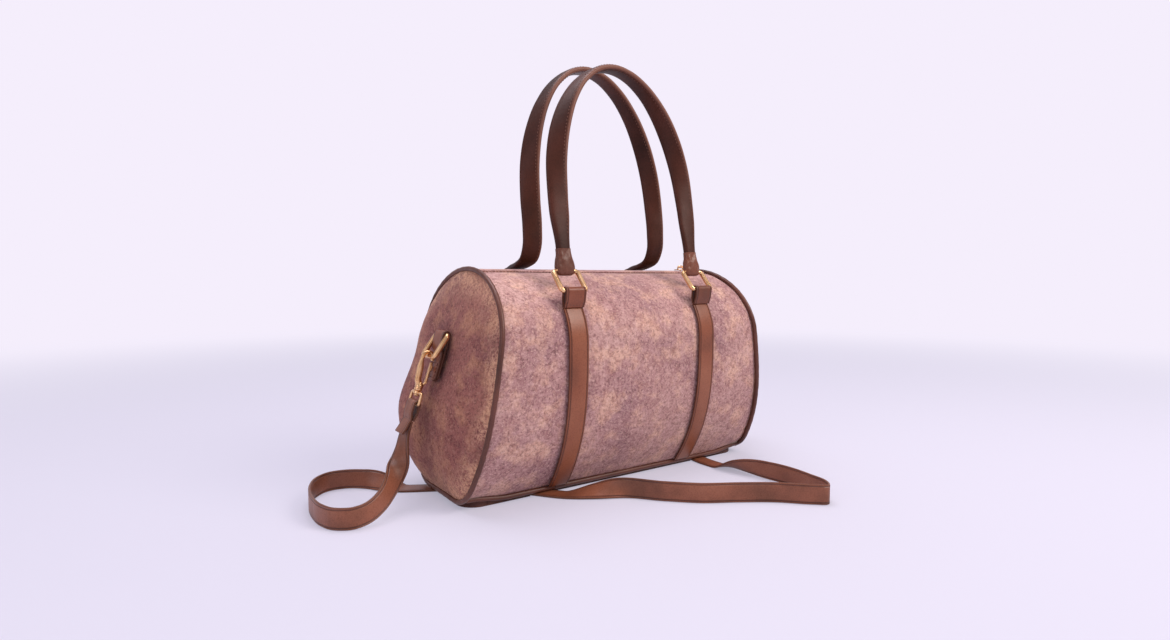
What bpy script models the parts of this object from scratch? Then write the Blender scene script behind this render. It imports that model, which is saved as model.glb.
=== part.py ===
"""Barrel handbag with a zip top, twin arched handles and a clip-on shoulder strap.

The bag stands on z = 0 with its length along X and its front towards -Y. The panels are separate
shells that meet at piped edges, as the cut pieces of the real bag do.
"""
import math

import bmesh
import bpy
from mathutils import Vector

# Body
BODY_LENGTH = 0.300          # between the end pipings, at half height
END_SPLAY = 0.0267           # how far each end leans out from the top to the base
BODY_HEIGHT = 0.197
HALF_DEPTH = 0.079           # centre to the front, at the widest height
WIDEST_Z = 0.134
BASE_HALF = 0.0400
WALL_CURVE = 2.9             # exponent of the side wall below the widest height
PANEL_T = 0.0022
GAP = 0.0003                 # clearance between touching pieces
PIPING_D = 0.0045
BULGE_UPPER = 0.012          # how far the end panels swell, above and below the tab
BULGE_LOWER = 0.021
BULGE_LEAN = 0.30            # how much more they swell towards the back, evenly
BULGE_BACK = 1.80            # and where the contents rest against the back half
BULGE_TOP_Z = 0.130
BULGE_RAMP = 0.060
BULGE_EXP = 2.6
BULGE_CENTRE_Z = 0.095

# Base
BASE_T = 0.005
BOARD_T = 0.0015
BOARD_INSET = 0.0045

# Lining
LINING_T = 0.0008
LINING_GAP = 0.0004
LINING_MOUTH = 0.0185        # half width of its open top

# Zip mouth
SEAM_Y = 0.017               # from the centre line to the flap's outer seam
FLAP_T = 0.0020
FLAP_INSET = 0.03965         # from the top of the end seam to the flaps' ends
TEETH_H = 0.0022
TEETH_W = 0.0022
TEETH_SPLIT = 0.0014         # room between the two rows for the slider's post
TAPE_W = 0.0070
TAPE_T = 0.0006
ZIP_TAIL = 0.0245            # length of the fixed rows beyond the flaps
STOP_L = 0.003
SLIDER_L = 0.013
SLIDER_W = 0.0092
SLIDER_PLATE = 0.0010
SLIDER_POST = 0.0008
BRIDGE_H = 0.0030
BRIDGE_T = 0.0012
BRIDGE_L = 0.0085
PULL_L = 0.026
PULL_W = 0.0068
PULL_T = 0.0014

# Straps, handles and their rings
STRAP_W = 0.0195
STRAP_T = 0.0018
STRAP_X = 0.074              # handle straps, from the middle of the bag
STRAP_DROP = 0.0330          # from the bag's top down to the ends of its straps
WIRE_D = 0.0033
RING_PLAY = 0.0016           # ring's inner width over the strap's
RING_H = 0.022               # between the ring's two bars
RING_CORNER = 0.0020
KEEPER_L = 0.0140            # from the ring's bar down to the strap's top
KEEPER_LEAN = -0.0018        # inwards, from its foot to the ring's bar
FRONT_RING_ELEV = 49.0       # degrees above the horizontal, leaning over the top
BACK_RING_ELEV = 26.0
CHAPE_L = 0.0190
HANDLE_W = 0.0185
HANDLE_T = 0.0056
NECK_W = 0.0130              # the handle's width where its end wrap begins
NECK_T = 0.0066
NECK_LENGTH = 0.016
HANDLE_SPRING = 0.065        # above the bag, where the straight legs turn into the arch
HANDLE_STEP = 0.010          # between its cross-sections
FRONT_APEX = (-0.0275, 0.1865)   # y, and height above the bag
BACK_APEX = (0.0165, 0.1960)

# End tabs, rings and snap hooks
TAB_DROP = 0.056             # from the bag's top down to the tab's bar
TAB_L = 0.040
TAB_FOLD = 0.20               # shares of its length where the front leg leaves the fold
TAB_FLAT = 0.50               # and where it lies flat
TAB_SLOPE = 17.8             # degrees from the vertical
RING_HANG = 36.0
HOOK_HANG = 19.0
HOOK_WIRE_D = 0.0032
HOOK_HALF_W = 0.0044
HOOK_DROP = 0.0009           # from the ring's bar to the centre of the hook's bow
HOOK_BODY_L = 0.0245
HOOK_SPINE_W = 0.0060        # the flat side away from the bag
HOOK_SPINE_T = 0.0026
COLLAR_D = 0.0070
COLLAR_L = 0.0042
STEM_D = 0.0026
RIVET_D = 0.0044
RIVET_L = 0.0014
GATE_D = 0.0024
GATE_L = 0.0170
GATE_KNOB = 0.0022
EYE_BOSS = 0.0066
EYE_BOSS_H = 0.0030
EYE_H = 0.0095
EYE_WIRE_D = 0.0026
LOOP_L = 0.0140

# Shoulder strap
SHOULDER_W = 0.0175
SHOULDER_T = 0.0018
FLOOR_GAP = 0.0002
TWIST_L = 0.085              # along which its ends turn from the eyes' bars onto the edge
CHANNEL_CLEAR = 0.0006
CHANNEL_H = 0.0026
EDGE_Z = SHOULDER_W / 2 + FLOOR_GAP
FLAT_Z = SHOULDER_T / 2 + FLOOR_GAP


def clear_scene():
    for item in list(bpy.data.objects):
        bpy.data.objects.remove(item, do_unlink=True)


def finish(name, colour, roughness, metallic):
    mat = bpy.data.materials.new(name)
    mat.use_nodes = True
    shader = mat.node_tree.nodes["Principled BSDF"]
    shader.inputs["Base Color"].default_value = (*colour, 1.0)
    shader.inputs["Roughness"].default_value = roughness
    shader.inputs["Metallic"].default_value = metallic
    return mat


def mesh_object(name, verts, faces, mat, smooth=40.0):
    """Make a closed body with outward faces from plain points and faces."""
    mesh = bpy.data.meshes.new(name)
    mesh.from_pydata([tuple(v) for v in verts], [], faces)
    bm = bmesh.new()
    bm.from_mesh(mesh)
    bmesh.ops.remove_doubles(bm, verts=bm.verts, dist=1e-6)
    bmesh.ops.triangulate(bm, faces=[f for f in bm.faces if len(f.verts) > 4])
    bmesh.ops.recalc_face_normals(bm, faces=bm.faces)
    bm.to_mesh(mesh)
    bm.free()
    mesh.materials.append(mat)
    mesh.shade_smooth()
    mesh.set_sharp_from_angle(angle=math.radians(smooth))
    item = bpy.data.objects.new(name, mesh)
    bpy.context.scene.collection.objects.link(item)
    return item


def skin(rings, closed=False):
    """Join rings of equal count with quads; an open row gets a cap at each end."""
    count = len(rings[0])
    verts = [p for ring in rings for p in ring]
    faces = []
    rows = len(rings)
    for i in range(rows if closed else rows - 1):
        a = i * count
        b = ((i + 1) % rows) * count
        for j in range(count):
            k = (j + 1) % count
            faces.append((a + j, a + k, b + k, b + j))
    if not closed:
        faces.append(tuple(range(count)))
        faces.append(tuple(range((rows - 1) * count, rows * count)))
    return verts, faces


def spline(points, spacing):
    """Evenly spaced points along a smooth curve through the given points."""
    pts = [Vector(p) for p in points]
    chord = [(b - a).length for a, b in zip(pts, pts[1:])]
    slope = [(pts[1] - pts[0]) / chord[0]]
    for i in range(1, len(pts) - 1):
        before = (pts[i] - pts[i - 1]) / chord[i - 1]
        after = (pts[i + 1] - pts[i]) / chord[i]
        slope.append((before * chord[i] + after * chord[i - 1]) / (chord[i - 1] + chord[i]))
    slope.append((pts[-1] - pts[-2]) / chord[-1])
    dense = []
    steps = 24
    for i, d in enumerate(chord):
        for n in range(steps):
            t = n / steps
            dense.append(pts[i] * (2 * t**3 - 3 * t**2 + 1) + slope[i] * d * (t**3 - 2 * t**2 + t)
                         + pts[i + 1] * (3 * t**2 - 2 * t**3) + slope[i + 1] * d * (t**3 - t**2))
    dense.append(pts[-1])
    run = [0.0]
    for a, b in zip(dense, dense[1:]):
        run.append(run[-1] + (b - a).length)
    count = max(2, round(run[-1] / spacing))
    out = []
    j = 0
    for n in range(count + 1):
        goal = run[-1] * n / count
        while j < len(run) - 2 and run[j + 1] < goal:
            j += 1
        t = (goal - run[j]) / (run[j + 1] - run[j])
        out.append(dense[j].lerp(dense[j + 1], t))
    return out


def tangents(points, closed=False):
    n = len(points)
    out = []
    for i in range(n):
        a = points[(i - 1) % n] if closed or i > 0 else points[0]
        b = points[(i + 1) % n] if closed or i < n - 1 else points[-1]
        out.append((b - a).normalized())
    return out


def oval(sides, turn=0.5):
    """Points round a unit circle; four sides give the corners of a flat strap."""
    return [(math.cos(2 * math.pi * (k + turn) / sides), math.sin(2 * math.pi * (k + turn) / sides))
            for k in range(sides)]


def swept(name, points, across, half_w, half_t, mat, shape, closed=False, smooth=40.0):
    """Carry a flat section along points; across(i, tangent) gives its width direction."""
    rings = []
    for i, (p, t) in enumerate(zip(points, tangents(points, closed))):
        w = across(i, t)
        w = (w - t * w.dot(t)).normalized()
        n = t.cross(w)
        rings.append([p + w * (half_w(i) * a) + n * (half_t(i) * b) for a, b in shape])
    verts, faces = skin(rings, closed)
    return mesh_object(name, verts, faces, mat, smooth)


def flat_strip(name, points, across, width, thick, mat):
    corners = [(1, 1), (-1, 1), (-1, -1), (1, -1)]
    return swept(name, points, across, lambda i: width / 2, lambda i: thick / 2, mat, corners)


def extruded(name, outline, frame, half_width, mat, smooth=40.0):
    """Extrude a flat outline (u, v) both ways along the third axis of frame."""
    origin, u_axis, v_axis, w_axis = frame
    rings = [[origin + u_axis * u + v_axis * v + w_axis * side * half_width for u, v in outline]
             for side in (-1, 1)]
    verts, faces = skin(rings)
    return mesh_object(name, verts, faces, mat, smooth)


def box(name, low, high, mat):
    xs, ys, zs = zip(low, high)
    ring = [(xs[0], ys[0]), (xs[1], ys[0]), (xs[1], ys[1]), (xs[0], ys[1])]
    verts, faces = skin([[Vector((x, y, z)) for x, y in ring] for z in zs])
    return mesh_object(name, verts, faces, mat)


def cut(item, cutter, operation="DIFFERENCE"):
    """Apply a Boolean with a hidden tool object."""
    mod = item.modifiers.new(cutter.name, "BOOLEAN")
    mod.operation = operation
    mod.solver = "EXACT"
    mod.object = cutter
    cutter.hide_render = True
    cutter.hide_viewport = False
    cutter.display_type = "WIRE"


STRAP_TOP_Z = BODY_HEIGHT - STRAP_DROP
HANDLE_SPRING_Z = BODY_HEIGHT + HANDLE_SPRING
TAB_Z = BODY_HEIGHT - TAB_DROP


# Cross-section of the body
def end_x(z):
    return BODY_LENGTH / 2 + END_SPLAY * (0.5 - z / BODY_HEIGHT)


def half_depth(z):
    if z <= WIDEST_Z:
        rise = 1 - (1 - z / WIDEST_Z) ** WALL_CURVE
        return BASE_HALF + (HALF_DEPTH - BASE_HALF) * rise
    t = (z - WIDEST_Z) / (BODY_HEIGHT - WIDEST_Z)
    return HALF_DEPTH * math.sqrt(max(0.0, 1 - t * t))


def dome_z(y):
    return WIDEST_Z + (BODY_HEIGHT - WIDEST_Z) * math.sqrt(1 - (y / HALF_DEPTH) ** 2)


def side_line(low_z, top_y, walls=6, domes=8):
    """Half outline (y, z) from low_z up the wall and over the dome to y = top_y."""
    line = []
    for i in range(walls):
        z = low_z + (WIDEST_Z - low_z) * (i / walls) ** 1.35
        line.append((half_depth(z), z))
    last = math.acos(top_y / HALF_DEPTH)
    rise = BODY_HEIGHT - WIDEST_Z
    for i in range(domes + 1):
        a = last * i / domes
        line.append((HALF_DEPTH * math.cos(a), WIDEST_Z + rise * math.sin(a)))
    return line


def inset(line, depth):
    """Move a half outline inwards, square to itself."""
    out = []
    for i, (y, z) in enumerate(line):
        y0, z0 = line[max(i - 1, 0)]
        y1, z1 = line[min(i + 1, len(line) - 1)]
        length = math.hypot(y1 - y0, z1 - z0)
        out.append((y - (z1 - z0) / length * depth, z + (y1 - y0) / length * depth))
    return out


PIPING_R = PIPING_D / 2
PIPING_Z = CHANNEL_H + PIPING_R
EDGE = PIPING_R + GAP
PANEL_LOW = PIPING_Z + EDGE
BASE_EDGE_Y = half_depth(PIPING_Z)
CORNER_R = 0.012
STATIONS = (-1.0, -0.75, -0.5, -0.25, 0.0, 0.25, 0.5, 0.75, 1.0)


def body_shell(name, side, mat):
    """Front (side -1) or back (+1) panel: one curved sheet from base seam to zip seam."""
    outer = side_line(PANEL_LOW, SEAM_Y + GAP)
    inner = inset(outer, PANEL_T)
    section = outer + inner[::-1]
    rings = [[Vector((s * (end_x(z) - EDGE), side * y, z)) for y, z in section] for s in STATIONS]
    verts, faces = skin(rings)
    return mesh_object(name, verts, faces, mat)


def end_loop(pull_in, low_z):
    """Closed outline of the bag's end, pull_in inside the piping's line, from low_z up."""
    rise = CORNER_R / 2
    lean = math.atan((half_depth(low_z + rise) - half_depth(low_z)) / rise)
    joint_z = low_z + CORNER_R * (1 - math.sin(lean))
    corner_y = half_depth(joint_z) - CORNER_R * math.cos(lean)
    side = inset(side_line(joint_z, 0.0, 6, 9), pull_in)[:-1]
    radius = CORNER_R - pull_in
    arc = []
    for i in range(3):
        a = math.radians(270) + (math.radians(90) - lean) * i / 3
        arc.append((corner_y + radius * math.cos(a), low_z + CORNER_R + radius * math.sin(a)))
    half = [(corner_y / 2, low_z + pull_in)] + arc + side
    top = (0.0, BODY_HEIGHT - pull_in)
    bottom = (0.0, low_z + pull_in)
    front = [(-y, z) for y, z in half]
    return [bottom] + half + [top] + front[::-1]


def swell(y, z, radius):
    """How far the end panel stands out of its piping's plane; radius is 0 mid-panel, 1 at the edge."""
    ramp = min(1.0, max(0.0, (BULGE_TOP_Z - z) / BULGE_RAMP))
    ramp = ramp * ramp * (3 - 2 * ramp)
    lean = 1 + BULGE_LEAN * y / HALF_DEPTH + BULGE_BACK * max(0.0, y / HALF_DEPTH) ** 2
    return (BULGE_UPPER + (BULGE_LOWER - BULGE_UPPER) * ramp) * lean * (1 - radius ** BULGE_EXP)


def end_shell(name, side, mat):
    """End panel: a pillow-shaped shell inside the piping."""
    loop = end_loop(EDGE, PIPING_Z)
    shares = (1.0, 0.88, 0.7, 0.45, 0.2)
    grids = []
    for offset in (PANEL_T / 2, -PANEL_T / 2):
        rows = []
        for share in shares:
            row = []
            for y, z in loop:
                py = y * share
                pz = BULGE_CENTRE_Z + (z - BULGE_CENTRE_Z) * share
                x = end_x(pz) + swell(py, pz, share) + offset
                row.append(Vector((side * x, py, pz)))
            rows.append(row)
        grids.append(rows)
    outer, inner = grids
    count = len(loop)
    verts, faces = skin(outer[::-1] + inner)
    faces = faces[:-2]
    tips = []
    for offset, start in ((PANEL_T / 2, 0), (-PANEL_T / 2, (2 * len(shares) - 1) * count)):
        x = end_x(BULGE_CENTRE_Z) + swell(0.0, BULGE_CENTRE_Z, 0.0) + offset
        tips.append(len(verts))
        verts.append(Vector((side * x, 0.0, BULGE_CENTRE_Z)))
        faces += [(start + j, start + (j + 1) % count, tips[-1]) for j in range(count)]
    return mesh_object(name, verts, faces, mat)


def end_piping(name, side, mat):
    path = [Vector((side * end_x(z), y, z)) for y, z in end_loop(0.0, PIPING_Z)]
    plane = Vector((1.0, 0.0, side * END_SPLAY / BODY_HEIGHT))
    return swept(name, path, lambda i, t: plane, lambda i: PIPING_R, lambda i: PIPING_R,
                 mat, oval(8), closed=True)


def base_piping(name, side, mat):
    reach = end_x(PIPING_Z) - EDGE
    path = [Vector((s * reach, side * BASE_EDGE_Y, PIPING_Z)) for s in (-1, -0.5, 0, 0.5, 1)]
    return swept(name, path, lambda i, t: Vector((0, 1, 0)), lambda i: PIPING_R,
                 lambda i: PIPING_R, mat, oval(8))


def lining_tub(name, mat):
    """Thin open-topped tub just inside the panels."""
    depth = PANEL_T + LINING_GAP
    low = BASE_T + GAP + BOARD_T + GAP
    lines = []
    for wall in (0.0, LINING_T):
        half = inset(side_line(PANEL_LOW, SEAM_Y + GAP), depth + wall)
        half = [p for p in half if p[0] > LINING_MOUTH]
        (y0, z0), (y1, z1) = half[:2]
        foot = (y0 - (z0 - low - wall) * (y1 - y0) / (z1 - z0), low + wall)
        half = [foot] + half[1:]
        lines.append([(-y, z) for y, z in half[::-1]] + half)
    count = len(lines[0])
    verts = []
    for line, wall in zip(lines, (0.0, LINING_T)):
        for s in (-1.0, -0.5, 0.0, 0.5, 1.0):
            for y, z in line:
                verts.append(Vector((s * (end_x(z) - EDGE - GAP - wall), y, z)))
    rows = 5
    faces = []
    for layer in (0, 1):
        start = layer * rows * count
        for i in range(rows - 1):
            for j in range(count - 1):
                a = start + i * count + j
                faces.append((a, a + 1, a + 1 + count, a + count))
        faces.append(tuple(range(start, start + count)))
        faces.append(tuple(range(start + (rows - 1) * count, start + rows * count)))
    shift = rows * count
    for i in range(rows - 1):
        for j in (0, count - 1):
            a = i * count + j
            faces.append((a, a + count, a + count + shift, a + shift))
    for i in (0, rows - 1):
        a = i * count
        b = a + count - 1
        faces.append((a, b, b + shift, a + shift))
    return mesh_object(name, verts, faces, mat)


# Zip mouth
FLAP_HALF_LENGTH = end_x(BODY_HEIGHT) - FLAP_INSET
TEETH_Z = dome_z(TEETH_W) - TEETH_H / 2 + 0.00015
TEETH_IN = TEETH_SPLIT / 2
TEETH_OUT = TEETH_IN + TEETH_W
FLAP_HINGE_Z = dome_z(SEAM_Y) - FLAP_T / 2


def zip_flap(name, side, mat):
    """Strip between the seam and the teeth; its outer edge is round, so that it turns in its seam."""
    hinge_y = SEAM_Y - FLAP_T / 2 - GAP
    outline = [(hinge_y + FLAP_T / 2 * math.cos(math.radians(90 - 30 * i)),
                FLAP_HINGE_Z + FLAP_T / 2 * math.sin(math.radians(90 - 30 * i))) for i in range(7)]
    for y in (hinge_y * 0.5, TEETH_OUT + GAP):
        outline.append((y, dome_z(y) - FLAP_T))
    for y in (TEETH_OUT + GAP, hinge_y * 0.5):
        outline.append((y, dome_z(y)))
    frame = (Vector((0, 0, 0)), Vector((0, side, 0)), Vector((0, 0, 1)), Vector((1, 0, 0)))
    return extruded(name, outline, frame, FLAP_HALF_LENGTH, mat)


def tape_z(y):
    return dome_z(y) - FLAP_T - GAP


TEETH_LOW = tape_z(TEETH_OUT) - TAPE_T


def zip_teeth(name, side, mat):
    """One row of teeth with its tape under the flap."""
    top = TEETH_Z + TEETH_H / 2
    edge = TEETH_OUT + TAPE_W
    outline = [(TEETH_IN, TEETH_LOW), (TEETH_IN, top), (TEETH_OUT, top), (TEETH_OUT, tape_z(TEETH_OUT)),
               (edge, tape_z(edge)), (edge, tape_z(edge) - TAPE_T)]
    frame = (Vector((0, 0, 0)), Vector((0, side, 0)), Vector((0, 0, 1)), Vector((1, 0, 0)))
    return extruded(name, outline, frame, FLAP_HALF_LENGTH, mat)


def zip_end(name, side, mat):
    """Fixed top strip between the flaps and the end piping, slotted for the zip's tail."""
    near = FLAP_HALF_LENGTH + GAP
    half = [i / 5 * (SEAM_Y - GAP) for i in range(-5, 6)]
    far = [end_x(dome_z(y)) - EDGE for y in half]
    rings = []
    for share in (0.0, 0.5, 1.0):
        top = [Vector((side * (near + (f - near) * share), y, dome_z(y))) for y, f in zip(half, far)]
        under = [v - Vector((0, 0, FLAP_T)) for v in top]
        rings.append(top + under[::-1])
    verts, faces = skin(rings)
    strip = mesh_object(name, verts, faces, mat)
    reach = near + ZIP_TAIL + STOP_L + GAP
    xs = sorted((side * (near - 0.002), side * reach))
    slot = box("slot_" + name, (xs[0], -TEETH_OUT - GAP, TEETH_Z - 0.01),
               (xs[1], TEETH_OUT + GAP, TEETH_Z + 0.01), mat)
    cut(strip, slot)
    return strip


def zip_stop(name, side, mat):
    """Fixed end of both rows, joined by the stop that the slider meets."""
    near = FLAP_HALF_LENGTH + GAP
    far = near + ZIP_TAIL
    outline = [(near, TEETH_IN), (near, TEETH_OUT), (far + STOP_L, TEETH_OUT), (far + STOP_L, -TEETH_OUT),
               (near, -TEETH_OUT), (near, -TEETH_IN), (far, -TEETH_IN), (far, TEETH_IN)]
    frame = (Vector((0, 0, TEETH_Z)), Vector((side, 0, 0)), Vector((0, 1, 0)), Vector((0, 0, 1)))
    return extruded(name, outline, frame, TEETH_H / 2, mat)


SLIDER_X = FLAP_HALF_LENGTH + GAP + ZIP_TAIL - GAP - SLIDER_L / 2
SLIDER_TOP = TEETH_Z + TEETH_H / 2 + GAP + SLIDER_PLATE
PULL_AXIS_Z = SLIDER_TOP + BRIDGE_H - PULL_T / 2 - GAP


def zip_slider(name, mat):
    """I-shaped slider whose post runs between the rows, with a bridge for the pull."""
    w = SLIDER_W / 2
    p = SLIDER_POST / 2
    top = SLIDER_TOP
    under = top - SLIDER_PLATE
    low = TEETH_LOW - GAP
    foot = low - SLIDER_PLATE
    outline = [(-w, top), (w, top), (w, under), (p, under), (p, low), (w, low),
               (w, foot), (-w, foot), (-w, low), (-p, low), (-p, under), (-w, under)]
    frame = (Vector((SLIDER_X, 0, 0)), Vector((0, 1, 0)), Vector((0, 0, 1)), Vector((1, 0, 0)))
    body = extruded(name, outline, frame, SLIDER_L / 2, mat)
    half = BRIDGE_L / 2
    window = half - BRIDGE_T
    rise = BRIDGE_H + BRIDGE_T
    arch = [(-half, -0.0004), (-half, BRIDGE_H * 0.7), (-window, rise), (window, rise),
            (half, BRIDGE_H * 0.7), (half, -0.0004), (window, -0.0004), (window, BRIDGE_H * 0.6),
            (window - 0.0008, BRIDGE_H), (0.0008 - window, BRIDGE_H), (-window, BRIDGE_H * 0.6),
            (-window, -0.0004)]
    frame = (Vector((SLIDER_X, 0, top)), Vector((1, 0, 0)), Vector((0, 0, 1)), Vector((0, 1, 0)))
    cut(body, extruded("tool_bridge", arch, frame, BRIDGE_T * 0.7, mat), "UNION")
    return body


def zip_pull(name, mat):
    """Flat tag with a window, whose near bar passes under the slider's bridge."""
    w = PULL_W / 2
    r = PULL_T / 2
    bar = 0.0012
    inner = w - bar
    outline = [(-r, -w), (PULL_L * 0.72, -w), (PULL_L * 0.92, -w * 0.75), (PULL_L, 0),
               (PULL_L * 0.92, w * 0.75), (PULL_L * 0.72, w), (-r, w)]
    frame = (Vector((SLIDER_X, 0, PULL_AXIS_Z)), Vector((1, 0, 0)), Vector((0, 1, 0)), Vector((0, 0, 1)))
    tag = extruded(name, outline, frame, r, mat)
    x0, x1 = SLIDER_X + r, SLIDER_X + BRIDGE_L + 0.002
    cut(tag, box("tool_window", (x0, -inner, PULL_AXIS_Z - 0.004), (x1, inner, PULL_AXIS_Z + 0.004), mat))
    return tag


# Straps, keepers and rings
def folded(bar_d, thick, length, pinch=0.55):
    """Outline of a strap folded round a bar at the origin, both legs running along +u."""
    inner = bar_d / 2 + GAP
    outer = inner + thick
    slit = GAP / 2
    outline = [(length, slit + thick), (length * pinch, outer)]
    outline += [(outer * math.cos(math.radians(a)), outer * math.sin(math.radians(a)))
                for a in range(90, 271, 30)]
    outline += [(length * pinch, -outer), (length, -slit - thick), (length, -slit),
                (length * pinch * 0.8, -inner)]
    outline += [(inner * math.cos(math.radians(a)), inner * math.sin(math.radians(a)))
                for a in range(270, 89, -30)]
    outline += [(length * pinch * 0.8, inner), (length, slit)]
    return outline


def wire_ring(name, first, second, bar_axis, width, wire_d, mat, corner=RING_CORNER):
    """Rectangular wire ring; first and second are the centres of its two bars."""
    first = Vector(first)
    second = Vector(second)
    along = (second - first).normalized()
    height = (second - first).length
    centre = (first + second) / 2
    path = []
    for cx, cy, start in ((1, 1, 0), (-1, 1, 90), (-1, -1, 180), (1, -1, 270)):
        for step in (0, 1, 2):
            a = math.radians(start + 45 * step)
            u = cx * (width / 2 - corner) + corner * math.cos(a)
            v = cy * (height / 2 - corner) + corner * math.sin(a)
            path.append(centre + bar_axis * u + along * v)
    plane = bar_axis.cross(along)
    radius = wire_d / 2
    return swept(name, path, lambda i, t: plane, lambda i: radius, lambda i: radius, mat, oval(8),
                 closed=True)


RING_W = STRAP_W + RING_PLAY + WIRE_D
KEEPER_Z = STRAP_TOP_Z + GAP + KEEPER_L
KEEPER_FOOT_Y = half_depth(STRAP_TOP_Z) + 2 * GAP + STRAP_T
KEEPER_Y = KEEPER_FOOT_Y - KEEPER_LEAN


def towards(elevation, side):
    """Direction in the YZ plane that rises over the bag's top from its front or back."""
    a = math.radians(elevation)
    return Vector((0, -side * math.cos(a), math.sin(a)))


def ring_places(side):
    elevation = FRONT_RING_ELEV if side < 0 else BACK_RING_ELEV
    low = Vector((0, side * KEEPER_Y, KEEPER_Z))
    return low, low + towards(elevation, side) * RING_H


def body_strap(name, x, side, mat):
    line = side_line(PANEL_LOW + GAP, SEAM_Y)
    line = [p for p in line if p[1] < STRAP_TOP_Z - 0.002]
    line.append((half_depth(STRAP_TOP_Z), STRAP_TOP_Z))
    outer = inset(line, -GAP - STRAP_T)
    inner = inset(line, -GAP)
    outer[-1] = (outer[-1][0], STRAP_TOP_Z)
    inner[-1] = (inner[-1][0] + GAP, STRAP_TOP_Z)
    section = outer + inner[::-1]
    rings = [[Vector((x + s * STRAP_W / 2, side * y, z)) for y, z in section] for s in (-1, 1)]
    verts, faces = skin(rings)
    return mesh_object(name, verts, faces, mat)


def keeper(name, x, side, mat):
    low, _ = ring_places(side)
    foot = Vector((0, side * KEEPER_FOOT_Y, STRAP_TOP_Z + GAP))
    down = (foot - low).normalized()
    across = Vector((1, 0, 0))
    frame = (low + across * x, down, down.cross(across), across)
    return extruded(name, folded(WIRE_D, STRAP_T, KEEPER_L), frame, STRAP_W / 2, mat)


# Handles
def handle_apex(side):
    y, rise = FRONT_APEX if side < 0 else BACK_APEX
    return Vector((0, y, BODY_HEIGHT + rise))


def leg_points(side):
    """One leg in the YZ plane, from its chape's end up to the spring of the arch."""
    _, top = ring_places(side)
    apex = handle_apex(side)
    if side < 0:
        rise = (apex - top).normalized()
        start = top + rise * (CHAPE_L + GAP)
        share = (HANDLE_SPRING_Z - start.z) / (apex.z - start.z)
        return [start, start.lerp(apex, share)], rise
    rise = towards(24.0, side)
    start = top + rise * (CHAPE_L + GAP)
    bend = [(0.0085, 0.0030), (0.0230, 0.0060), (0.0340, 0.0105), (0.0405, 0.0220), (0.0410, 0.0400)]
    points = [start] + [start + Vector((0, -y, z)) for y, z in bend]
    points.append(Vector((0, -0.0015, HANDLE_SPRING_Z)))
    return points, rise


def handle_path(side):
    leg, _ = leg_points(side)
    apex = handle_apex(side)
    spring = leg[-1]
    left = [Vector((-STRAP_X, p.y, p.z)) for p in leg]
    arch = []
    for i in range(1, 12):
        a = math.radians(180 - 15 * i)
        rise = math.sin(a)
        arch.append(Vector((STRAP_X * math.cos(a), spring.y + (apex.y - spring.y) * rise,
                            spring.z + (apex.z - spring.z) * rise)))
    right = [Vector((STRAP_X, p.y, p.z)) for p in leg[::-1]]
    return spline(left + arch + right, HANDLE_STEP)


def handle(name, side, mat):
    """Folded strap that is flat to the front at its rings and flat to the top at its apex."""
    path = handle_path(side)
    last = len(path) - 1

    def share(i):
        return min(i, last - i) * HANDLE_STEP

    def across(i, t):
        turn = math.radians(90) * math.sin(math.pi * i / last) ** 2
        return Vector((-math.cos(turn), math.sin(turn), 0))

    def blend(i, neck, main):
        s = min(1.0, share(i) / (2 * NECK_LENGTH))
        return (neck + (main - neck) * s * s * (3 - 2 * s)) / 2

    section = [(1.0, 0.45), (0.72, 1.0), (-0.72, 1.0), (-1.0, 0.45),
               (-1.0, -0.45), (-0.72, -1.0), (0.72, -1.0), (1.0, -0.45)]
    return swept(name, path, across, lambda i: blend(i, NECK_W, HANDLE_W),
                 lambda i: blend(i, NECK_T, HANDLE_T), mat, section)


def chape(name, x, side, mat):
    """The handle's end, folded round the ring and gathered in towards the neck."""
    _, top = ring_places(side)
    _, rise = leg_points(side)
    across = Vector((1, 0, 0))
    frame = (top + across * x, rise, rise.cross(across), across)
    piece = extruded(name, folded(WIRE_D, STRAP_T, CHAPE_L, 0.6), frame, STRAP_W / 2, mat)
    for point in piece.data.vertices:
        share = max(0.0, (point.co - top).dot(rise) / CHAPE_L)
        point.co.x = x + (point.co.x - x) * (1 + (NECK_W / STRAP_W - 1) * share)
    return piece


# End tabs, rings and snap hooks
def slanted(side, degrees):
    """Direction in the XZ plane that falls away from the bag's end."""
    a = math.radians(degrees)
    return Vector((side * math.sin(a), 0, -math.cos(a)))


def tab_bar(side):
    stand = (WIRE_D / 2 + GAP + STRAP_T + GAP) / math.cos(math.radians(TAB_SLOPE))
    radius = (TAB_Z - BULGE_CENTRE_Z) / (BODY_HEIGHT - BULGE_CENTRE_Z)
    face = end_x(TAB_Z) + swell(0.0, TAB_Z, radius) + PANEL_T / 2
    return Vector((side * (face + stand), 0, TAB_Z))


Y_AXIS = Vector((0, 1, 0))


def arc_points(radius, start, end, step=30):
    way = 1 if end > start else -1
    return [(radius * math.cos(math.radians(a)), radius * math.sin(math.radians(a)))
            for a in range(start, end + way, way * step)]


def side_tab(name, side, mat):
    """Strap folded round the ring's bar; its back leg lies on the panel and its front leg on that."""
    down = slanted(side, TAB_SLOPE)
    inner = WIRE_D / 2 + GAP
    outer = inner + STRAP_T
    fold, flat = TAB_L * TAB_FOLD, TAB_L * TAB_FLAT
    outline = [(TAB_L, inner - GAP - STRAP_T), (flat, inner - GAP - STRAP_T), (fold, -outer)]
    outline += arc_points(outer, 270, 90) + [(TAB_L, outer), (TAB_L, inner)] + arc_points(inner, 90, 270)
    outline += [(fold, -inner), (flat, inner - GAP), (TAB_L, inner - GAP)]
    frame = (tab_bar(side), down, Y_AXIS.cross(down) * side, Y_AXIS)
    return extruded(name, outline, frame, STRAP_W / 2, mat)


def ring_foot(side):
    return tab_bar(side) + slanted(side, RING_HANG) * RING_H


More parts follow.
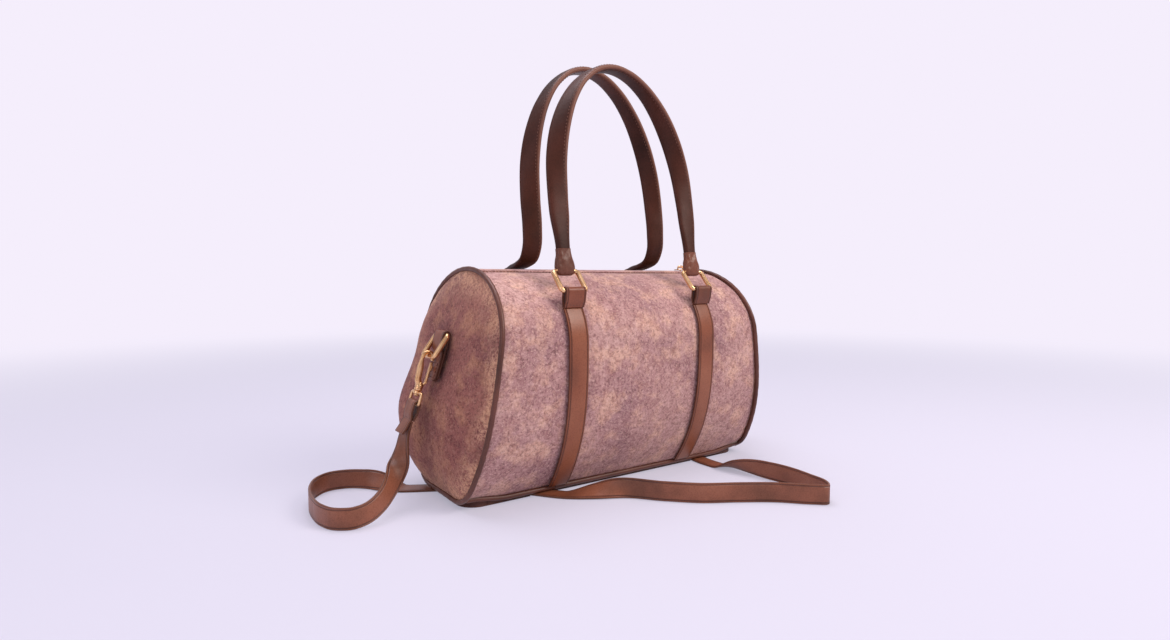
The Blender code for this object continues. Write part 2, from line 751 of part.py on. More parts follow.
def hook_frame(side):
    """Origin on the ring's bar, u down the hook, n away from the bag."""
    u = slanted(side, HOOK_HANG)
    n = Vector((side * -u.z, 0, side * u.x))
    return ring_foot(side), u, n


GATE_FOOT = HOOK_DROP + 0.0205
HOOK_END = HOOK_DROP + HOOK_BODY_L


def turned(name, origin, axis, profile, mat, sides=10):
    """Body of revolution from (distance along axis, radius) pairs."""
    first = axis.orthogonal().normalized()
    second = axis.cross(first)
    rings = []
    for along, radius in profile:
        rings.append([origin + axis * along + first * radius * c + second * radius * s
                      for c, s in oval(sides)])
    verts, faces = skin(rings)
    return mesh_object(name, verts, faces, mat)


def snap_hook(name, side, mat):
    """Bow over the ring's bar, a spine, a foot and the stem that the eye turns on."""
    origin, u, n = hook_frame(side)
    w = HOOK_HALF_W
    places = [(HOOK_DROP + 0.0020, -w)]
    for a in range(180, -1, -30):
        places.append((HOOK_DROP - w * math.sin(math.radians(a)), w * math.cos(math.radians(a))))
    places += [(HOOK_DROP + 0.007, w), (HOOK_DROP + 0.014, w), (HOOK_DROP + 0.0205, w * 0.86),
               (HOOK_END - 0.0016, w * 0.25), (HOOK_END - 0.0012, 0.0)]
    path = [origin + u * a + n * b for a, b in places]
    r = HOOK_WIRE_D / 2
    body = swept(name, path, lambda i, t: Y_AXIS, lambda i: r, lambda i: r, mat, oval(8))
    collar = COLLAR_D / 2
    base = HOOK_END - 0.0022
    neck = HOOK_END + COLLAR_L
    grip = neck + EYE_BOSS_H + 2 * GAP
    profile = [(base, collar * 0.72), (HOOK_END, collar), (neck, collar), (neck + 1e-5, STEM_D / 2),
               (grip, STEM_D / 2), (grip + 1e-5, RIVET_D / 2), (grip + RIVET_L, RIVET_D / 2 * 0.8)]
    cut(body, turned("tool_" + name, origin, u, profile, mat), "UNION")
    half = HOOK_SPINE_T / 2
    spine = [(HOOK_DROP, w - half), (HOOK_DROP, w + half), (GATE_FOOT, w * 0.86 + half),
             (HOOK_END, half), (HOOK_END, -half), (GATE_FOOT, w * 0.86 - half)]
    cut(body, extruded("tool_spine_" + name, spine, (origin, u, n, Y_AXIS), HOOK_SPINE_W / 2, mat), "UNION")
    heel = -w * 0.98
    pad = [(GATE_FOOT + 0.0016, heel - 0.0010), (GATE_FOOT + 0.0016, heel + 0.0010),
           (HOOK_END + 0.0012, 0.0006), (HOOK_END + 0.0012, -0.0018)]
    frame = (origin, u, n, Y_AXIS)
    cut(body, extruded("tool_heel_" + name, pad, frame, 0.0015, mat), "UNION")
    return body


def hook_gate(name, side, mat):
    """Sprung lever on the bag's side of the hook, with a thumb knob."""
    origin, u, n = hook_frame(side)
    w = -HOOK_HALF_W
    top = GATE_FOOT - GATE_L
    r = GATE_D / 2
    outline = [(GATE_FOOT + 0.0010, w - r), (GATE_FOOT - 0.0105, w - r), (GATE_FOOT - 0.0110, w - r - GATE_KNOB * 0.5),
               (GATE_FOOT - 0.0135, w - r - GATE_KNOB * 0.5), (GATE_FOOT - 0.0142, w - r), (top, w - r),
               (top, w + r), (GATE_FOOT + 0.0010, w + r)]
    frame = (origin, u, n, Y_AXIS)
    return extruded(name, outline, frame, GATE_D / 2, mat)


EYE_TOP = HOOK_END + COLLAR_L + GAP + EYE_BOSS_H / 2


def swivel_eye(name, side, mat):
    """Wire eye for the strap, with a boss that turns on the hook's stem."""
    origin, u, n = hook_frame(side)
    first = origin + u * EYE_TOP
    width = SHOULDER_W + RING_PLAY + EYE_WIRE_D
    ring = wire_ring(name, first, first + u * EYE_H, Y_AXIS, width, EYE_WIRE_D, mat)
    half = EYE_BOSS / 2
    frame = (origin, u, n, Y_AXIS)
    low = EYE_TOP - EYE_BOSS_H / 2
    high = EYE_TOP + EYE_BOSS_H / 2
    block = [(low, -half), (low, half), (high, half), (high, -half)]
    cut(ring, extruded("tool_boss_" + name, block, frame, half, mat), "UNION")
    bore = STEM_D / 2 + GAP
    cut(ring, turned("tool_bore_" + name, origin, u, [(low - 0.002, bore), (high + 0.002, bore)], mat, 12))
    return ring


def eye_bar(side):
    origin, u, _ = hook_frame(side)
    return origin + u * (EYE_TOP + EYE_H)


def strap_loop(name, side, mat):
    """End of the shoulder strap, folded round the eye's lower bar."""
    _, u, n = hook_frame(side)
    frame = (eye_bar(side), u, n, Y_AXIS)
    return extruded(name, folded(EYE_WIRE_D, SHOULDER_T, LOOP_L), frame, SHOULDER_W / 2, mat)


# Shoulder strap: each route point is x, y, z and how far the strap is turned up on its edge
def drop_route(side):
    """From the loop's end down towards the floor; the loop hangs from the swivel eye."""
    _, u, _ = hook_frame(side)
    start = eye_bar(side) + u * LOOP_L
    middle = start + u * 0.012
    if side < 0:
        rest = [(-0.1990, -0.0040, 0.0480, 1.0), (-0.2045, -0.0110, 0.0365, 1.0)]
    else:
        rest = [(0.1990, 0.0045, 0.0480, 1.0), (0.2045, 0.0120, 0.0370, 1.0)]
    return [(*start, 1.0), (*middle, 1.0)] + rest


LEFT_CURL = [(-0.2125, -0.0190, 0.0255, 1.0), (-0.2225, -0.0260, 0.0165, 1.0),
             (-0.2345, -0.0305, 0.0108, 1.0), (-0.2470, -0.0310, EDGE_Z, 1.0),
             (-0.2580, -0.0240, EDGE_Z, 1.0), (-0.2640, -0.0095, EDGE_Z, 1.0)]
RUN = [(-0.2655, 0.0090, EDGE_Z, 1.0), (-0.2640, 0.0280, EDGE_Z, 1.0),
       (-0.2595, 0.0460, EDGE_Z, 1.0), (-0.2515, 0.0620, EDGE_Z, 1.0), (-0.2395, 0.0715, EDGE_Z, 1.0),
       (-0.2245, 0.0705, EDGE_Z, 1.0), (-0.2095, 0.0600, EDGE_Z - 0.0008, 0.9),
       (-0.1965, 0.0480, 0.0050, 0.45), (-0.1825, 0.0375, FLAT_Z, 0.0),
       (-0.1660, 0.0280, FLAT_Z, 0.0), (-0.1480, 0.0180, FLAT_Z, 0.0),
       (-0.1300, 0.0050, FLAT_Z, 0.0), (-0.1120, -0.0110, FLAT_Z, 0.0),
       (-0.0920, -0.0350, FLAT_Z, 0.0), (-0.0740, -0.0590, FLAT_Z, 0.0),
       (-0.0540, -0.0760, 0.0048, 0.35), (-0.0330, -0.0930, EDGE_Z - 0.0012, 0.85),
       (-0.0130, -0.1180, EDGE_Z, 1.0), (0.0100, -0.1400, EDGE_Z, 1.0), (0.0360, -0.1560, EDGE_Z, 1.0),
       (0.0620, -0.1740, EDGE_Z, 1.0), (0.0840, -0.1960, EDGE_Z, 1.0), (0.0935, -0.2030, EDGE_Z, 1.0),
       (0.1010, -0.1960, EDGE_Z, 1.0), (0.1060, -0.1760, EDGE_Z, 1.0), (0.1090, -0.1500, EDGE_Z, 1.0),
       (0.1060, -0.1240, EDGE_Z - 0.0006, 0.9), (0.1020, -0.0980, 0.0060, 0.5),
       (0.1000, -0.0740, FLAT_Z, 0.0), (0.1000, -0.0540, FLAT_Z, 0.0), (0.1060, -0.0280, FLAT_Z, 0.0),
       (0.1180, 0.0000, FLAT_Z, 0.0), (0.1310, 0.0270, FLAT_Z, 0.0), (0.1430, 0.0510, FLAT_Z, 0.0),
       (0.1550, 0.0690, FLAT_Z, 0.0), (0.1700, 0.0830, 0.0050, 0.45),
       (0.1880, 0.0910, EDGE_Z - 0.0006, 0.95)]
RIGHT_CURL = [(0.2070, 0.0890, EDGE_Z, 1.0), (0.2210, 0.0780, EDGE_Z, 1.0),
              (0.2275, 0.0600, 0.0095, 1.0), (0.2255, 0.0420, 0.0140, 1.0),
              (0.2175, 0.0270, 0.0225, 1.0)]
STRETCHES = ("strap_drop_left", "strap_curl_left", "strap_run", "strap_curl_right", "strap_drop_right")


def strap_sections(spacing=0.012):
    """Centre, direction, width direction and stretch number along the whole strap."""
    parts = [drop_route(-1), LEFT_CURL, RUN, RIGHT_CURL, drop_route(1)[::-1]]
    tiny = 1e-4
    knots = [Vector((x, y, z, turn * tiny)) for part in parts for x, y, z, turn in part]
    path = spline(knots, spacing)
    lengths = [sum((b - a).length for a, b in zip(knots[:n], knots[1:n])) for n in range(1, len(knots) + 1)]
    ends = []
    count = 0
    for part in parts[:-1]:
        count += len(part)
        ends.append((lengths[count - 1] + lengths[count]) / 2 / lengths[-1])
    flat = [p.to_3d() for p in path]
    out = []
    for i, (p, t) in enumerate(zip(flat, tangents(flat))):
        angle = math.radians(90) * min(1.0, max(0.0, path[i][3] / tiny))
        level = Vector((-t.y, t.x, 0)).normalized()
        across = level * math.cos(angle) + t.cross(level) * math.sin(angle)
        share = min(1.0, min(i, len(flat) - 1 - i) * spacing / TWIST_L)
        share = share * share * (3 - 2 * share)
        across = (Y_AXIS * (1 - share) + across * share).normalized()
        rest = SHOULDER_W / 2 * abs(across.z) + SHOULDER_T / 2 * math.cos(angle) + FLOOR_GAP
        place = Vector((p.x, p.y, max(p.z, rest)))
        out.append((place, t, across, sum(i / (len(flat) - 1) > e for e in ends)))
    return out


def strap_pieces(mat, width=SHOULDER_W, thick=SHOULDER_T):
    """The strap's stretches, end to end with the usual gap between them."""
    sections = strap_sections()
    for number, name in enumerate(STRETCHES):
        chosen = [i for i, s in enumerate(sections) if s[3] == number]
        span = list(chosen)
        if number < len(STRETCHES) - 1:
            span.append(chosen[-1] + 1)
        rings = []
        for i in span:
            p, t, across, _ = sections[i]
            if i == span[0]:
                p = p + t * GAP / 2 * (2 if number == 0 else 1)
            if i == span[-1]:
                p = p - t * GAP / 2 * (2 if number == len(STRETCHES) - 1 else 1)
            rings.append(strap_ring(p, t, across, width, thick))
        verts, faces = skin(rings)
        mesh_object(name, verts, faces, mat)


def strap_ring(p, t, across, width, thick):
    w = (across - t * across.dot(t)).normalized() * width / 2
    n = t.cross(w).normalized() * thick / 2
    return [p + w + n, p - w + n, p - w - n, p + w - n]


def base_slab(name, mat):
    """Flat base with shallow channels where the shoulder strap lies beneath it."""
    reach = end_x(PIPING_Z) - EDGE
    half = BASE_EDGE_Y - EDGE
    slab = box(name, (-reach, -half, 0), (reach, half, BASE_T), mat)
    under = [(p, t, w) for p, t, w, _ in strap_sections() if p.z < CHANNEL_H]
    for word, side in (("left", -1), ("right", 1)):
        lane = [(p, t, w) for p, t, w in under if p.x * side > 0]
        rings = []
        for p, t, w in lane:
            level = Vector((p.x, p.y, 0))
            w = Vector((w.x, w.y, 0)).normalized() * (SHOULDER_W / 2 + CHANNEL_CLEAR)
            low = Vector((0, 0, -0.002))
            high = Vector((0, 0, CHANNEL_H))
            rings.append([level + w + high, level - w + high, level - w + low, level + w + low])
        verts, faces = skin(rings)
        cut(slab, mesh_object("tool_channel_" + word, verts, faces, mat))
    return slab


def build():
    clear_scene()
    suede = finish("mauve suede", (0.36, 0.21, 0.19), 0.85, 0.0)
    tan = finish("tan leather", (0.16, 0.065, 0.038), 0.5, 0.0)
    cloth = finish("lining cloth", (0.30, 0.24, 0.20), 0.9, 0.0)
    board = finish("board", (0.20, 0.16, 0.12), 0.8, 0.0)
    gold = finish("pale gold", (0.86, 0.62, 0.33), 0.25, 1.0)
    tape = finish("zip tape", (0.12, 0.06, 0.045), 0.8, 0.0)

    body_shell("front_panel", -1, suede)
    body_shell("back_panel", 1, suede)
    base_slab("base_panel", suede)
    box("base_board", (-end_x(0) + PIPING_D + BOARD_INSET, -BASE_EDGE_Y + EDGE + BOARD_INSET, BASE_T + GAP),
        (end_x(0) - PIPING_D - BOARD_INSET, BASE_EDGE_Y - EDGE - BOARD_INSET, BASE_T + GAP + BOARD_T), board)
    lining_tub("lining", cloth)
    base_piping("front_base_piping", -1, tan)
    base_piping("back_base_piping", 1, tan)
    for word, side in (("front", -1), ("back", 1)):
        zip_flap("zip_flap_" + word, side, suede)
        zip_teeth("zip_teeth_" + word, side, tape)
    zip_slider("zip_slider", gold)
    zip_pull("zip_pull", gold)
    for word, side in (("left", -1), ("right", 1)):
        end_shell("end_panel_" + word, side, suede)
        end_piping("end_piping_" + word, side, tan)
        zip_end("zip_end_" + word, side, suede)
        zip_stop("zip_stop_" + word, side, gold)
        side_tab("side_tab_" + word, side, tan)
        wire_ring("side_ring_" + word, tab_bar(side), ring_foot(side), Y_AXIS, RING_W, WIRE_D, gold)
        snap_hook("snap_hook_" + word, side, gold)
        hook_gate("hook_gate_" + word, side, gold)
        swivel_eye("swivel_eye_" + word, side, gold)
        strap_loop("strap_loop_" + word, side, tan)
    for word, side in (("front", -1), ("back", 1)):
        handle("handle_" + word, side, tan)
        low, top = ring_places(side)
        for tag, x in (("left", -STRAP_X), ("right", STRAP_X)):
            shift = Vector((x, 0, 0))
            body_strap("body_strap_" + word + "_" + tag, x, side, tan)
            keeper("keeper_" + word + "_" + tag, x, side, tan)
            wire_ring("handle_ring_" + word + "_" + tag, low + shift, top + shift, Vector((1, 0, 0)),
                      RING_W, WIRE_D, gold)
            chape("chape_" + word + "_" + tag, x, side, tan)
    strap_pieces(tan)


build()
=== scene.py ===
# %% [markdown]
# # A suede barrel handbag
# The bag is a sewn object: sheets of suede and leather, bent and stitched over a soft tube, with
# cast rings and hooks. The solid model gives every piece its place, its size and the body that it
# moves with. This script gives the pieces their real skin. A solid that is already right keeps its
# shape and gets a finish; a plain one is replaced by a finer piece in the same place.
# %% Load the solid model
from math import acos, atan, copysign, cos, exp, hypot, pi, radians, sin, sqrt
import bpy
from mathutils import Matrix, Vector, noise


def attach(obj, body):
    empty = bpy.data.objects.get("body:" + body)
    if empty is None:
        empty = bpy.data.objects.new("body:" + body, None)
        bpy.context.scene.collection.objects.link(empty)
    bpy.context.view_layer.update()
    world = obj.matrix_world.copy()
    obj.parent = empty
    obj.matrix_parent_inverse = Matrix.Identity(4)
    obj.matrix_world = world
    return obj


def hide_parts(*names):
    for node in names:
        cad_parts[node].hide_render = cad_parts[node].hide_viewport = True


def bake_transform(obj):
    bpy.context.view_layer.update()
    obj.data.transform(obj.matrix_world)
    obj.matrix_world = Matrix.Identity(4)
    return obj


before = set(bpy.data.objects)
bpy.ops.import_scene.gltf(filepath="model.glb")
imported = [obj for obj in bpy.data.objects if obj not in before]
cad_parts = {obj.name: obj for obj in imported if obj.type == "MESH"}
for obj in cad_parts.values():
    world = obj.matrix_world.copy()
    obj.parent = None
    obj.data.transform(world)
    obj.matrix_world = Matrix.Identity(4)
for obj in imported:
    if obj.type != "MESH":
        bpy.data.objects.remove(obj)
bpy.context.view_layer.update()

# %% [markdown]
# ## The view
# The photograph looks down a little at the bag's left front corner. A short focal length, close to
# the bag, gives the strong perspective. The camera's place was found from the straps' width and the
# edges of the base, and it is set once, before any piece is made.
# %% Camera
CAMERA_PLACE = (-0.3754, -0.5192, 0.1886)
CAMERA_TURN = 35.0           # degrees to the right of straight on
CAMERA_DIP = 3.68            # degrees below the horizon
FOCAL_LENGTH, SENSOR_WIDTH = 19.88, 36.0     # mm


def in_scene(name, data):
    """A new object with this data, linked into the scene."""
    made = bpy.data.objects.new(name, data)
    bpy.context.scene.collection.objects.link(made)
    return made


lens = bpy.data.cameras.new("view")
lens.lens = FOCAL_LENGTH
lens.sensor_width = SENSOR_WIDTH
camera = in_scene("view", lens)
camera.location = CAMERA_PLACE
camera.rotation_euler = (radians(90 - CAMERA_DIP), 0, radians(-CAMERA_TURN))
bpy.context.scene.camera = camera

# %% [markdown]
# ## Sizes that the skin shares with the solids
# These are the bag's own sizes, in metres. The end of the bag leans in towards the top, so the
# length is a rule of height, and so is the depth: a wall that swells up to the widest height and
# a dome over it. Wall and foot of an end meet in a round corner. `ease` is the soft step that many
# of the later shapes share.
# %% The body's outline
BODY_LENGTH, END_SPLAY, BODY_HEIGHT = 0.300, 0.0267, 0.197
HALF_DEPTH, WIDEST_Z, BASE_HALF, WALL_CURVE = 0.079, 0.134, 0.0400, 2.9
GAP, PIPING_R, CHANNEL_H, CORNER_R = 0.0003, 0.00225, 0.0026, 0.030
PIPING_Z = CHANNEL_H + PIPING_R
EDGE = PIPING_R + GAP
TUCKED = 0.6 * PIPING_R      # how far from the piping's middle a sheet ends, caught inside it
SEAM_Y = 0.017
CORNER_RUN = 0.040           # length over which the foot takes on the end's round corner


def ease(value, low, high):
    """0 up to low, 1 from high on, and a soft rise between them."""
    share = min(1.0, max(0.0, (value - low) / (high - low)))
    return share * share * (3 - 2 * share)


def end_x(z):
    return BODY_LENGTH / 2 + END_SPLAY * (0.5 - z / BODY_HEIGHT)


def half_depth(z):
    if z <= WIDEST_Z:
        return BASE_HALF + (HALF_DEPTH - BASE_HALF) * (1 - (1 - z / WIDEST_Z) ** WALL_CURVE)
    share = (z - WIDEST_Z) / (BODY_HEIGHT - WIDEST_Z)
    return HALF_DEPTH * sqrt(max(0.0, 1 - share * share))


def dome_z(y):
    return WIDEST_Z + (BODY_HEIGHT - WIDEST_Z) * sqrt(1 - (y / HALF_DEPTH) ** 2)


print("depth at mid height:", round(2 * half_depth(BODY_HEIGHT / 2), 4))

# %% Outline of a side
def side_profile(share, low, top_y):
    """Point (y, z) and outward direction at a share of the way from the base seam to top_y."""
    wall, rise = WIDEST_Z - low, BODY_HEIGHT - WIDEST_Z
    turn = acos(top_y / HALF_DEPTH)
    split = wall / (wall + turn * (HALF_DEPTH + rise) / 2)
    nudge = 0.01

    def at(s):
        if s <= split:
            z = low + wall * max(s, 0.0) / split
            return half_depth(z), z
        a = turn * (s - split) / (1 - split)
        return HALF_DEPTH * cos(a), WIDEST_Z + rise * sin(a)

    y, z = at(share)
    y0, z0 = at(max(share - nudge, 0))
    y1, z1 = at(min(share + nudge, 1))
    length = hypot(y1 - y0, z1 - z0)
    return y, z, (z1 - z0) / length, -(y1 - y0) / length

# %% Round corner at the foot
def foot_corner():
    """Round corner between foot and wall at an end: its height, centre y and the wall's lean there.
    The lean depends on the height, so both are worked out in turns until they agree."""
    lean, nudge = 0.6, 1e-4
    for _ in range(8):
        joint = PIPING_Z + CORNER_R * (1 - sin(lean))
        lean = atan((half_depth(joint + nudge) - half_depth(joint - nudge)) / (2 * nudge))
    return joint, half_depth(joint) - CORNER_R * cos(lean), lean


CORNER_TOP, CORNER_Y, CORNER_LEAN = foot_corner()
CORNER_MIDDLE = -(radians(90) + CORNER_LEAN) / 2      # angle where the base seam meets it


def corner_point(angle, pull_in=0.0):
    radius = CORNER_R - pull_in
    return CORNER_Y + radius * cos(angle), PIPING_Z + CORNER_R + radius * sin(angle)


def near_end(x, reach):
    """0 along the bag and 1 at its end: how far the cross-section has taken the round corner."""
    return ease(abs(x), reach - CORNER_RUN, reach)


print("corner of the foot ends at:", round(CORNER_TOP, 4))

# %% [markdown]
# ## Two ways to make almost every piece
# A sewn piece is a flat sheet that was bent. So `bend_sheet` adds a grid, the flat sheet, and
# moves each of its points by a rule. The grid brings a UV map, and it is scaled to metres, so a
# row of stitches can later be drawn at a real distance from the edge. `modify` applies a modifier
# at once, which is how the sheet gets its thickness and its rounded edges.
# %% Select, add and merge
MERGE_GAP = 1e-6


def pick(*pieces):
    """Select only these pieces, and make the first one active."""
    bpy.ops.object.select_all(action="DESELECT")
    for piece in pieces:
        piece.select_set(True)
    bpy.context.view_layer.objects.active = pieces[0]


def fresh(add_shape, **settings):
    """Add a primitive with nothing else selected."""
    bpy.ops.object.select_all(action="DESELECT")
    add_shape(**settings)
    return bpy.context.object


def merge_points(piece, cap=False):
    """Merge points that meet; cap also closes the open ends and turns all faces outwards."""
    pick(piece)
    bpy.ops.object.mode_set(mode="EDIT")
    bpy.ops.mesh.select_all(action="SELECT")
    bpy.ops.mesh.remove_doubles(threshold=MERGE_GAP)
    if cap:
        bpy.ops.mesh.select_all(action="SELECT")
        bpy.ops.mesh.fill_holes(sides=0)
        bpy.ops.mesh.select_all(action="SELECT")
        bpy.ops.mesh.normals_make_consistent(inside=False)
    bpy.ops.object.mode_set(mode="OBJECT")

# %% Bend a grid into a sheet
def bend_sheet(name, place, columns, rows, size=(1.0, 1.0), join=False, cap=False):
    """Add a grid, move its points to place(u, v) with u and v from 0 to 1, and scale its UV map."""
    piece = fresh(bpy.ops.mesh.primitive_grid_add, x_subdivisions=columns, y_subdivisions=rows, size=1)
    piece.name = name
    piece.data.name = name
    for point in piece.data.vertices:
        point.co = place(point.co.x + 0.5, point.co.y + 0.5)
    for corner in piece.data.uv_layers.active.data:
        corner.uv = (corner.uv[0] * size[0], corner.uv[1] * size[1])
    if join or cap:
        merge_points(piece, cap)
    return piece


def modify(piece, kind, **settings):
    """Add one modifier and apply it."""
    pick(piece)
    modifier = piece.modifiers.new(kind.lower(), kind)
    for key, value in settings.items():
        setattr(modifier, key, value)
    bpy.ops.object.modifier_apply(modifier=modifier.name)
    return piece

# %% Finish a piece
def dress(piece, material, body=None, replaces=(), sharp=40.0):
    """Smooth shading, the finish, the body that it rides on and the solids it stands for."""
    pick(piece)
    bpy.ops.object.shade_smooth_by_angle(angle=radians(sharp))
    piece.data.materials.clear()
    piece.data.materials.append(material)
    if body:
        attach(piece, body)
    if replaces:
        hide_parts(*replaces)
    return piece

# %% [markdown]
# ## Smooth routes
# Straps, handles and wires all follow a line through a few chosen points. This curve passes
# through each of them and eases from one to the next, and is then cut into even steps.
# %% A curve through points
FINE_STEPS = 24


def smooth_route(points, step):
    pts = [Vector(p) for p in points]
    chord = [(b - a).length for a, b in zip(pts, pts[1:])]
    slope = [(pts[1] - pts[0]) / chord[0]]
    for i in range(1, len(pts) - 1):
        before, after = (pts[i] - pts[i - 1]) / chord[i - 1], (pts[i + 1] - pts[i]) / chord[i]
        slope.append((before * chord[i] + after * chord[i - 1]) / (chord[i - 1] + chord[i]))
    slope.append((pts[-1] - pts[-2]) / chord[-1])
    dense = []
    for i, d in enumerate(chord):
        for n in range(FINE_STEPS):
            t = n / FINE_STEPS
            dense.append(pts[i] * (2 * t**3 - 3 * t**2 + 1) + slope[i] * d * (t**3 - 2 * t**2 + t)
                         + pts[i + 1] * (3 * t**2 - 2 * t**3) + slope[i + 1] * d * (t**3 - t**2))
    dense.append(pts[-1])
    run = [0.0]
    for a, b in zip(dense, dense[1:]):
        run.append(run[-1] + (b - a).length)
    count = max(2, round(run[-1] / step))
    out, j = [], 0
    for n in range(count + 1):
        goal = run[-1] * n / count
        while j < len(run) - 2 and run[j + 1] < goal:
            j += 1
        out.append(dense[j].lerp(dense[j + 1], (goal - run[j]) / (run[j + 1] - run[j])))
    return out


def directions(points, closed=False):
    n = len(points)
    return [(points[(i + 1) % n if closed else min(i + 1, n - 1)]
             - points[(i - 1) % n if closed else max(i - 1, 0)]).normalized() for i in range(n)]


def length_of(points):
    return sum((b - a).length for a, b in zip(points, points[1:]))

# %% [markdown]
# A belt is a strap of even width and thickness: a narrow sheet along a route, given its thickness
# by Solidify and worn round edges by Bevel. `across` says which way its width points at each step.
# A tube is a sheet rolled round its route until its long edges meet.
# %% Belts
X_AXIS, Y_AXIS, Z_AXIS = Vector((1, 0, 0)), Vector((0, 1, 0)), Vector((0, 0, 1))
WORN_EDGE = 0.42             # a belt's rounded edge as a share of its thickness


def at_step(rule, i):
    """A size or a direction that may change along a route."""
    return rule(i) if callable(rule) else rule


def square_to(way, along):
    """The part of a direction that stands square to another one."""
    return (way - along * way.dot(along)).normalized()


def belt(name, route, across, width, thick, rows=4, relief=None):
    """Strap along a route; relief(u, v) lifts its skin, for a padded middle or creases."""
    steps = directions(route)
    last = len(route) - 1

    def place(u, v):
        i = round(u * last)
        side = square_to(at_step(across, i), steps[i])
        lift = relief(u, v) if relief else 0.0
        return route[i] + side * (v - 0.5) * at_step(width, i) + steps[i].cross(side) * lift

    flat = (length_of(route), at_step(width, last // 2))
    piece = bend_sheet(name, place, last, rows, flat)
    modify(piece, "SOLIDIFY", thickness=thick, offset=0.0)
    return modify(piece, "BEVEL", width=thick * WORN_EDGE, segments=2,
                  limit_method="ANGLE", angle_limit=radians(60))

# %% Tubes
def tube(name, route, wide, thick=None, closed=False, sides=14, plane=Y_AXIS, square=2.0):
    """A rod along a route: round, or flat where thick is given; both are half sizes and may change
    along it. plane is the direction of its width; square above 2 flattens its faces."""
    steps = directions(route, closed)
    count = len(route)
    columns = count if closed else count - 1

    def place(u, v):
        i = round(u * columns) % count
        side = square_to(at_step(plane, i), steps[i])
        w = at_step(wide, i)
        h = w if thick is None else at_step(thick, i)
        c, s = cos(2 * pi * v), sin(2 * pi * v)
        c = copysign(abs(c) ** (2 / square), c)
        s = copysign(abs(s) ** (2 / square), s)
        return route[i] + side * w * c + steps[i].cross(side) * h * s

    return bend_sheet(name, place, columns, sides, (length_of(route), 1.0), cap=True)

# %% [markdown]
# ## Finishes
# Each finish starts from what the real surface is. Colours are written as hex values, the way a
# picture editor shows them, and one function turns them into the linear values that light needs.
# %% Colour and node helpers
def paint(code):
    values = [int(code[i:i + 2], 16) / 255 for i in (1, 3, 5)]
    return tuple(c / 12.92 if c <= 0.04045 else ((c + 0.055) / 1.055) ** 2.4
                 for c in values) + (1.0,)


def wire(mat, node, inputs):
    """Give each of these inputs of a node a constant or another node's output."""
    for key, value in inputs.items():
        if isinstance(value, bpy.types.NodeSocket):
            mat.node_tree.links.new(value, node.inputs[key])
        else:
            node.inputs[key].default_value = value
    return node


def add(mat, kind, inputs=None, **settings):
    """One node with its settings and its inputs."""
    made = mat.node_tree.nodes.new(kind)
    for key, value in settings.items():
        setattr(made, key, value)
    return wire(mat, made, inputs or {})


def maths(mat, operation, *values):
    return add(mat, "ShaderNodeMath", dict(enumerate(values)), operation=operation).outputs[0]


def remap(mat, value, low, high, first=0.0, second=1.0, way="LINEAR"):
    """Carry the range low to high over to the range first to second."""
    return add(mat, "ShaderNodeMapRange", {"Value": value, "From Min": low, "From Max": high,
                                           "To Min": first, "To Max": second},
               interpolation_type=way).outputs[0]


def map_y(mat):
    """The second direction of the UV map: across a belt, from the seam of an end, round a tube."""
    uv = add(mat, "ShaderNodeUVMap").outputs["UV"]
    return add(mat, "ShaderNodeSeparateXYZ", {"Vector": uv}).outputs["Y"]


def new_finish(name):
    mat = bpy.data.materials.new(name)
    mat.use_nodes = True
    return mat, mat.node_tree.nodes["Principled BSDF"]

# %% Ramps, mixes, spots and bumps
def ramp(mat, value, *stops):
    """Colour ramp: stops are (position, hex colour)."""
    made = add(mat, "ShaderNodeValToRGB", {"Fac": value})
    made.color_ramp.elements.remove(made.color_ramp.elements[1])
    for k, (position, code) in enumerate(stops):
        stop = made.color_ramp.elements[0] if k == 0 else made.color_ramp.elements.new(position)
        stop.position = position
        stop.color = paint(code)
    return made.outputs["Color"]


def mixed(mat, share, first, second, mode="MIX"):
    """Two colours mixed; the Mix node's colour inputs are its sockets 6 and 7."""
    made = add(mat, "ShaderNodeMix", data_type="RGBA", blend_type=mode)
    return wire(mat, made, {0: share, 6: first, 7: second}).outputs[2]


def blotches(mat, spot_mm, detail=3.0, roughness=0.5, shift=(0, 0, 0)):
    """Noise whose spots are about spot_mm across, in the object's own metres."""
    place = add(mat, "ShaderNodeTexCoord").outputs["Object"]
    moved = add(mat, "ShaderNodeMapping", {"Vector": place, "Location": shift}).outputs[0]
    return add(mat, "ShaderNodeTexNoise", {"Vector": moved, "Scale": 1000.0 / spot_mm, "Detail": detail,
                                           "Roughness": roughness}).outputs["Fac"]


def bumped(mat, shader, *layers):
    """Chain bumps: each layer is (height socket, depth in metres, strength)."""
    normal = None
    for height, depth, strength in layers:
        inputs = {"Height": height, "Distance": depth, "Strength": strength}
        if normal:
            inputs["Normal"] = normal
        normal = add(mat, "ShaderNodeBump", inputs).outputs["Normal"]
    wire(mat, shader, {"Normal": normal})

# %% [markdown]
# ### Distressed suede
# Split leather with its nap rubbed and waxed by hand: a dusty mauve with faint peach clouds about
# 20 mm across, and a fine broken crackle of 2 to 3 mm where the nap stands up, dark in its creases
# and pale on its rubbed tips. It scatters light and hardly shines. The ends are a browner copy, and
# darker too as painted shade; they are scuffed to a pale tan within some 20 mm of their seam, which
# is where the UV map's Y starts.
# %% Suede
SCUFF_REACH = 0.024


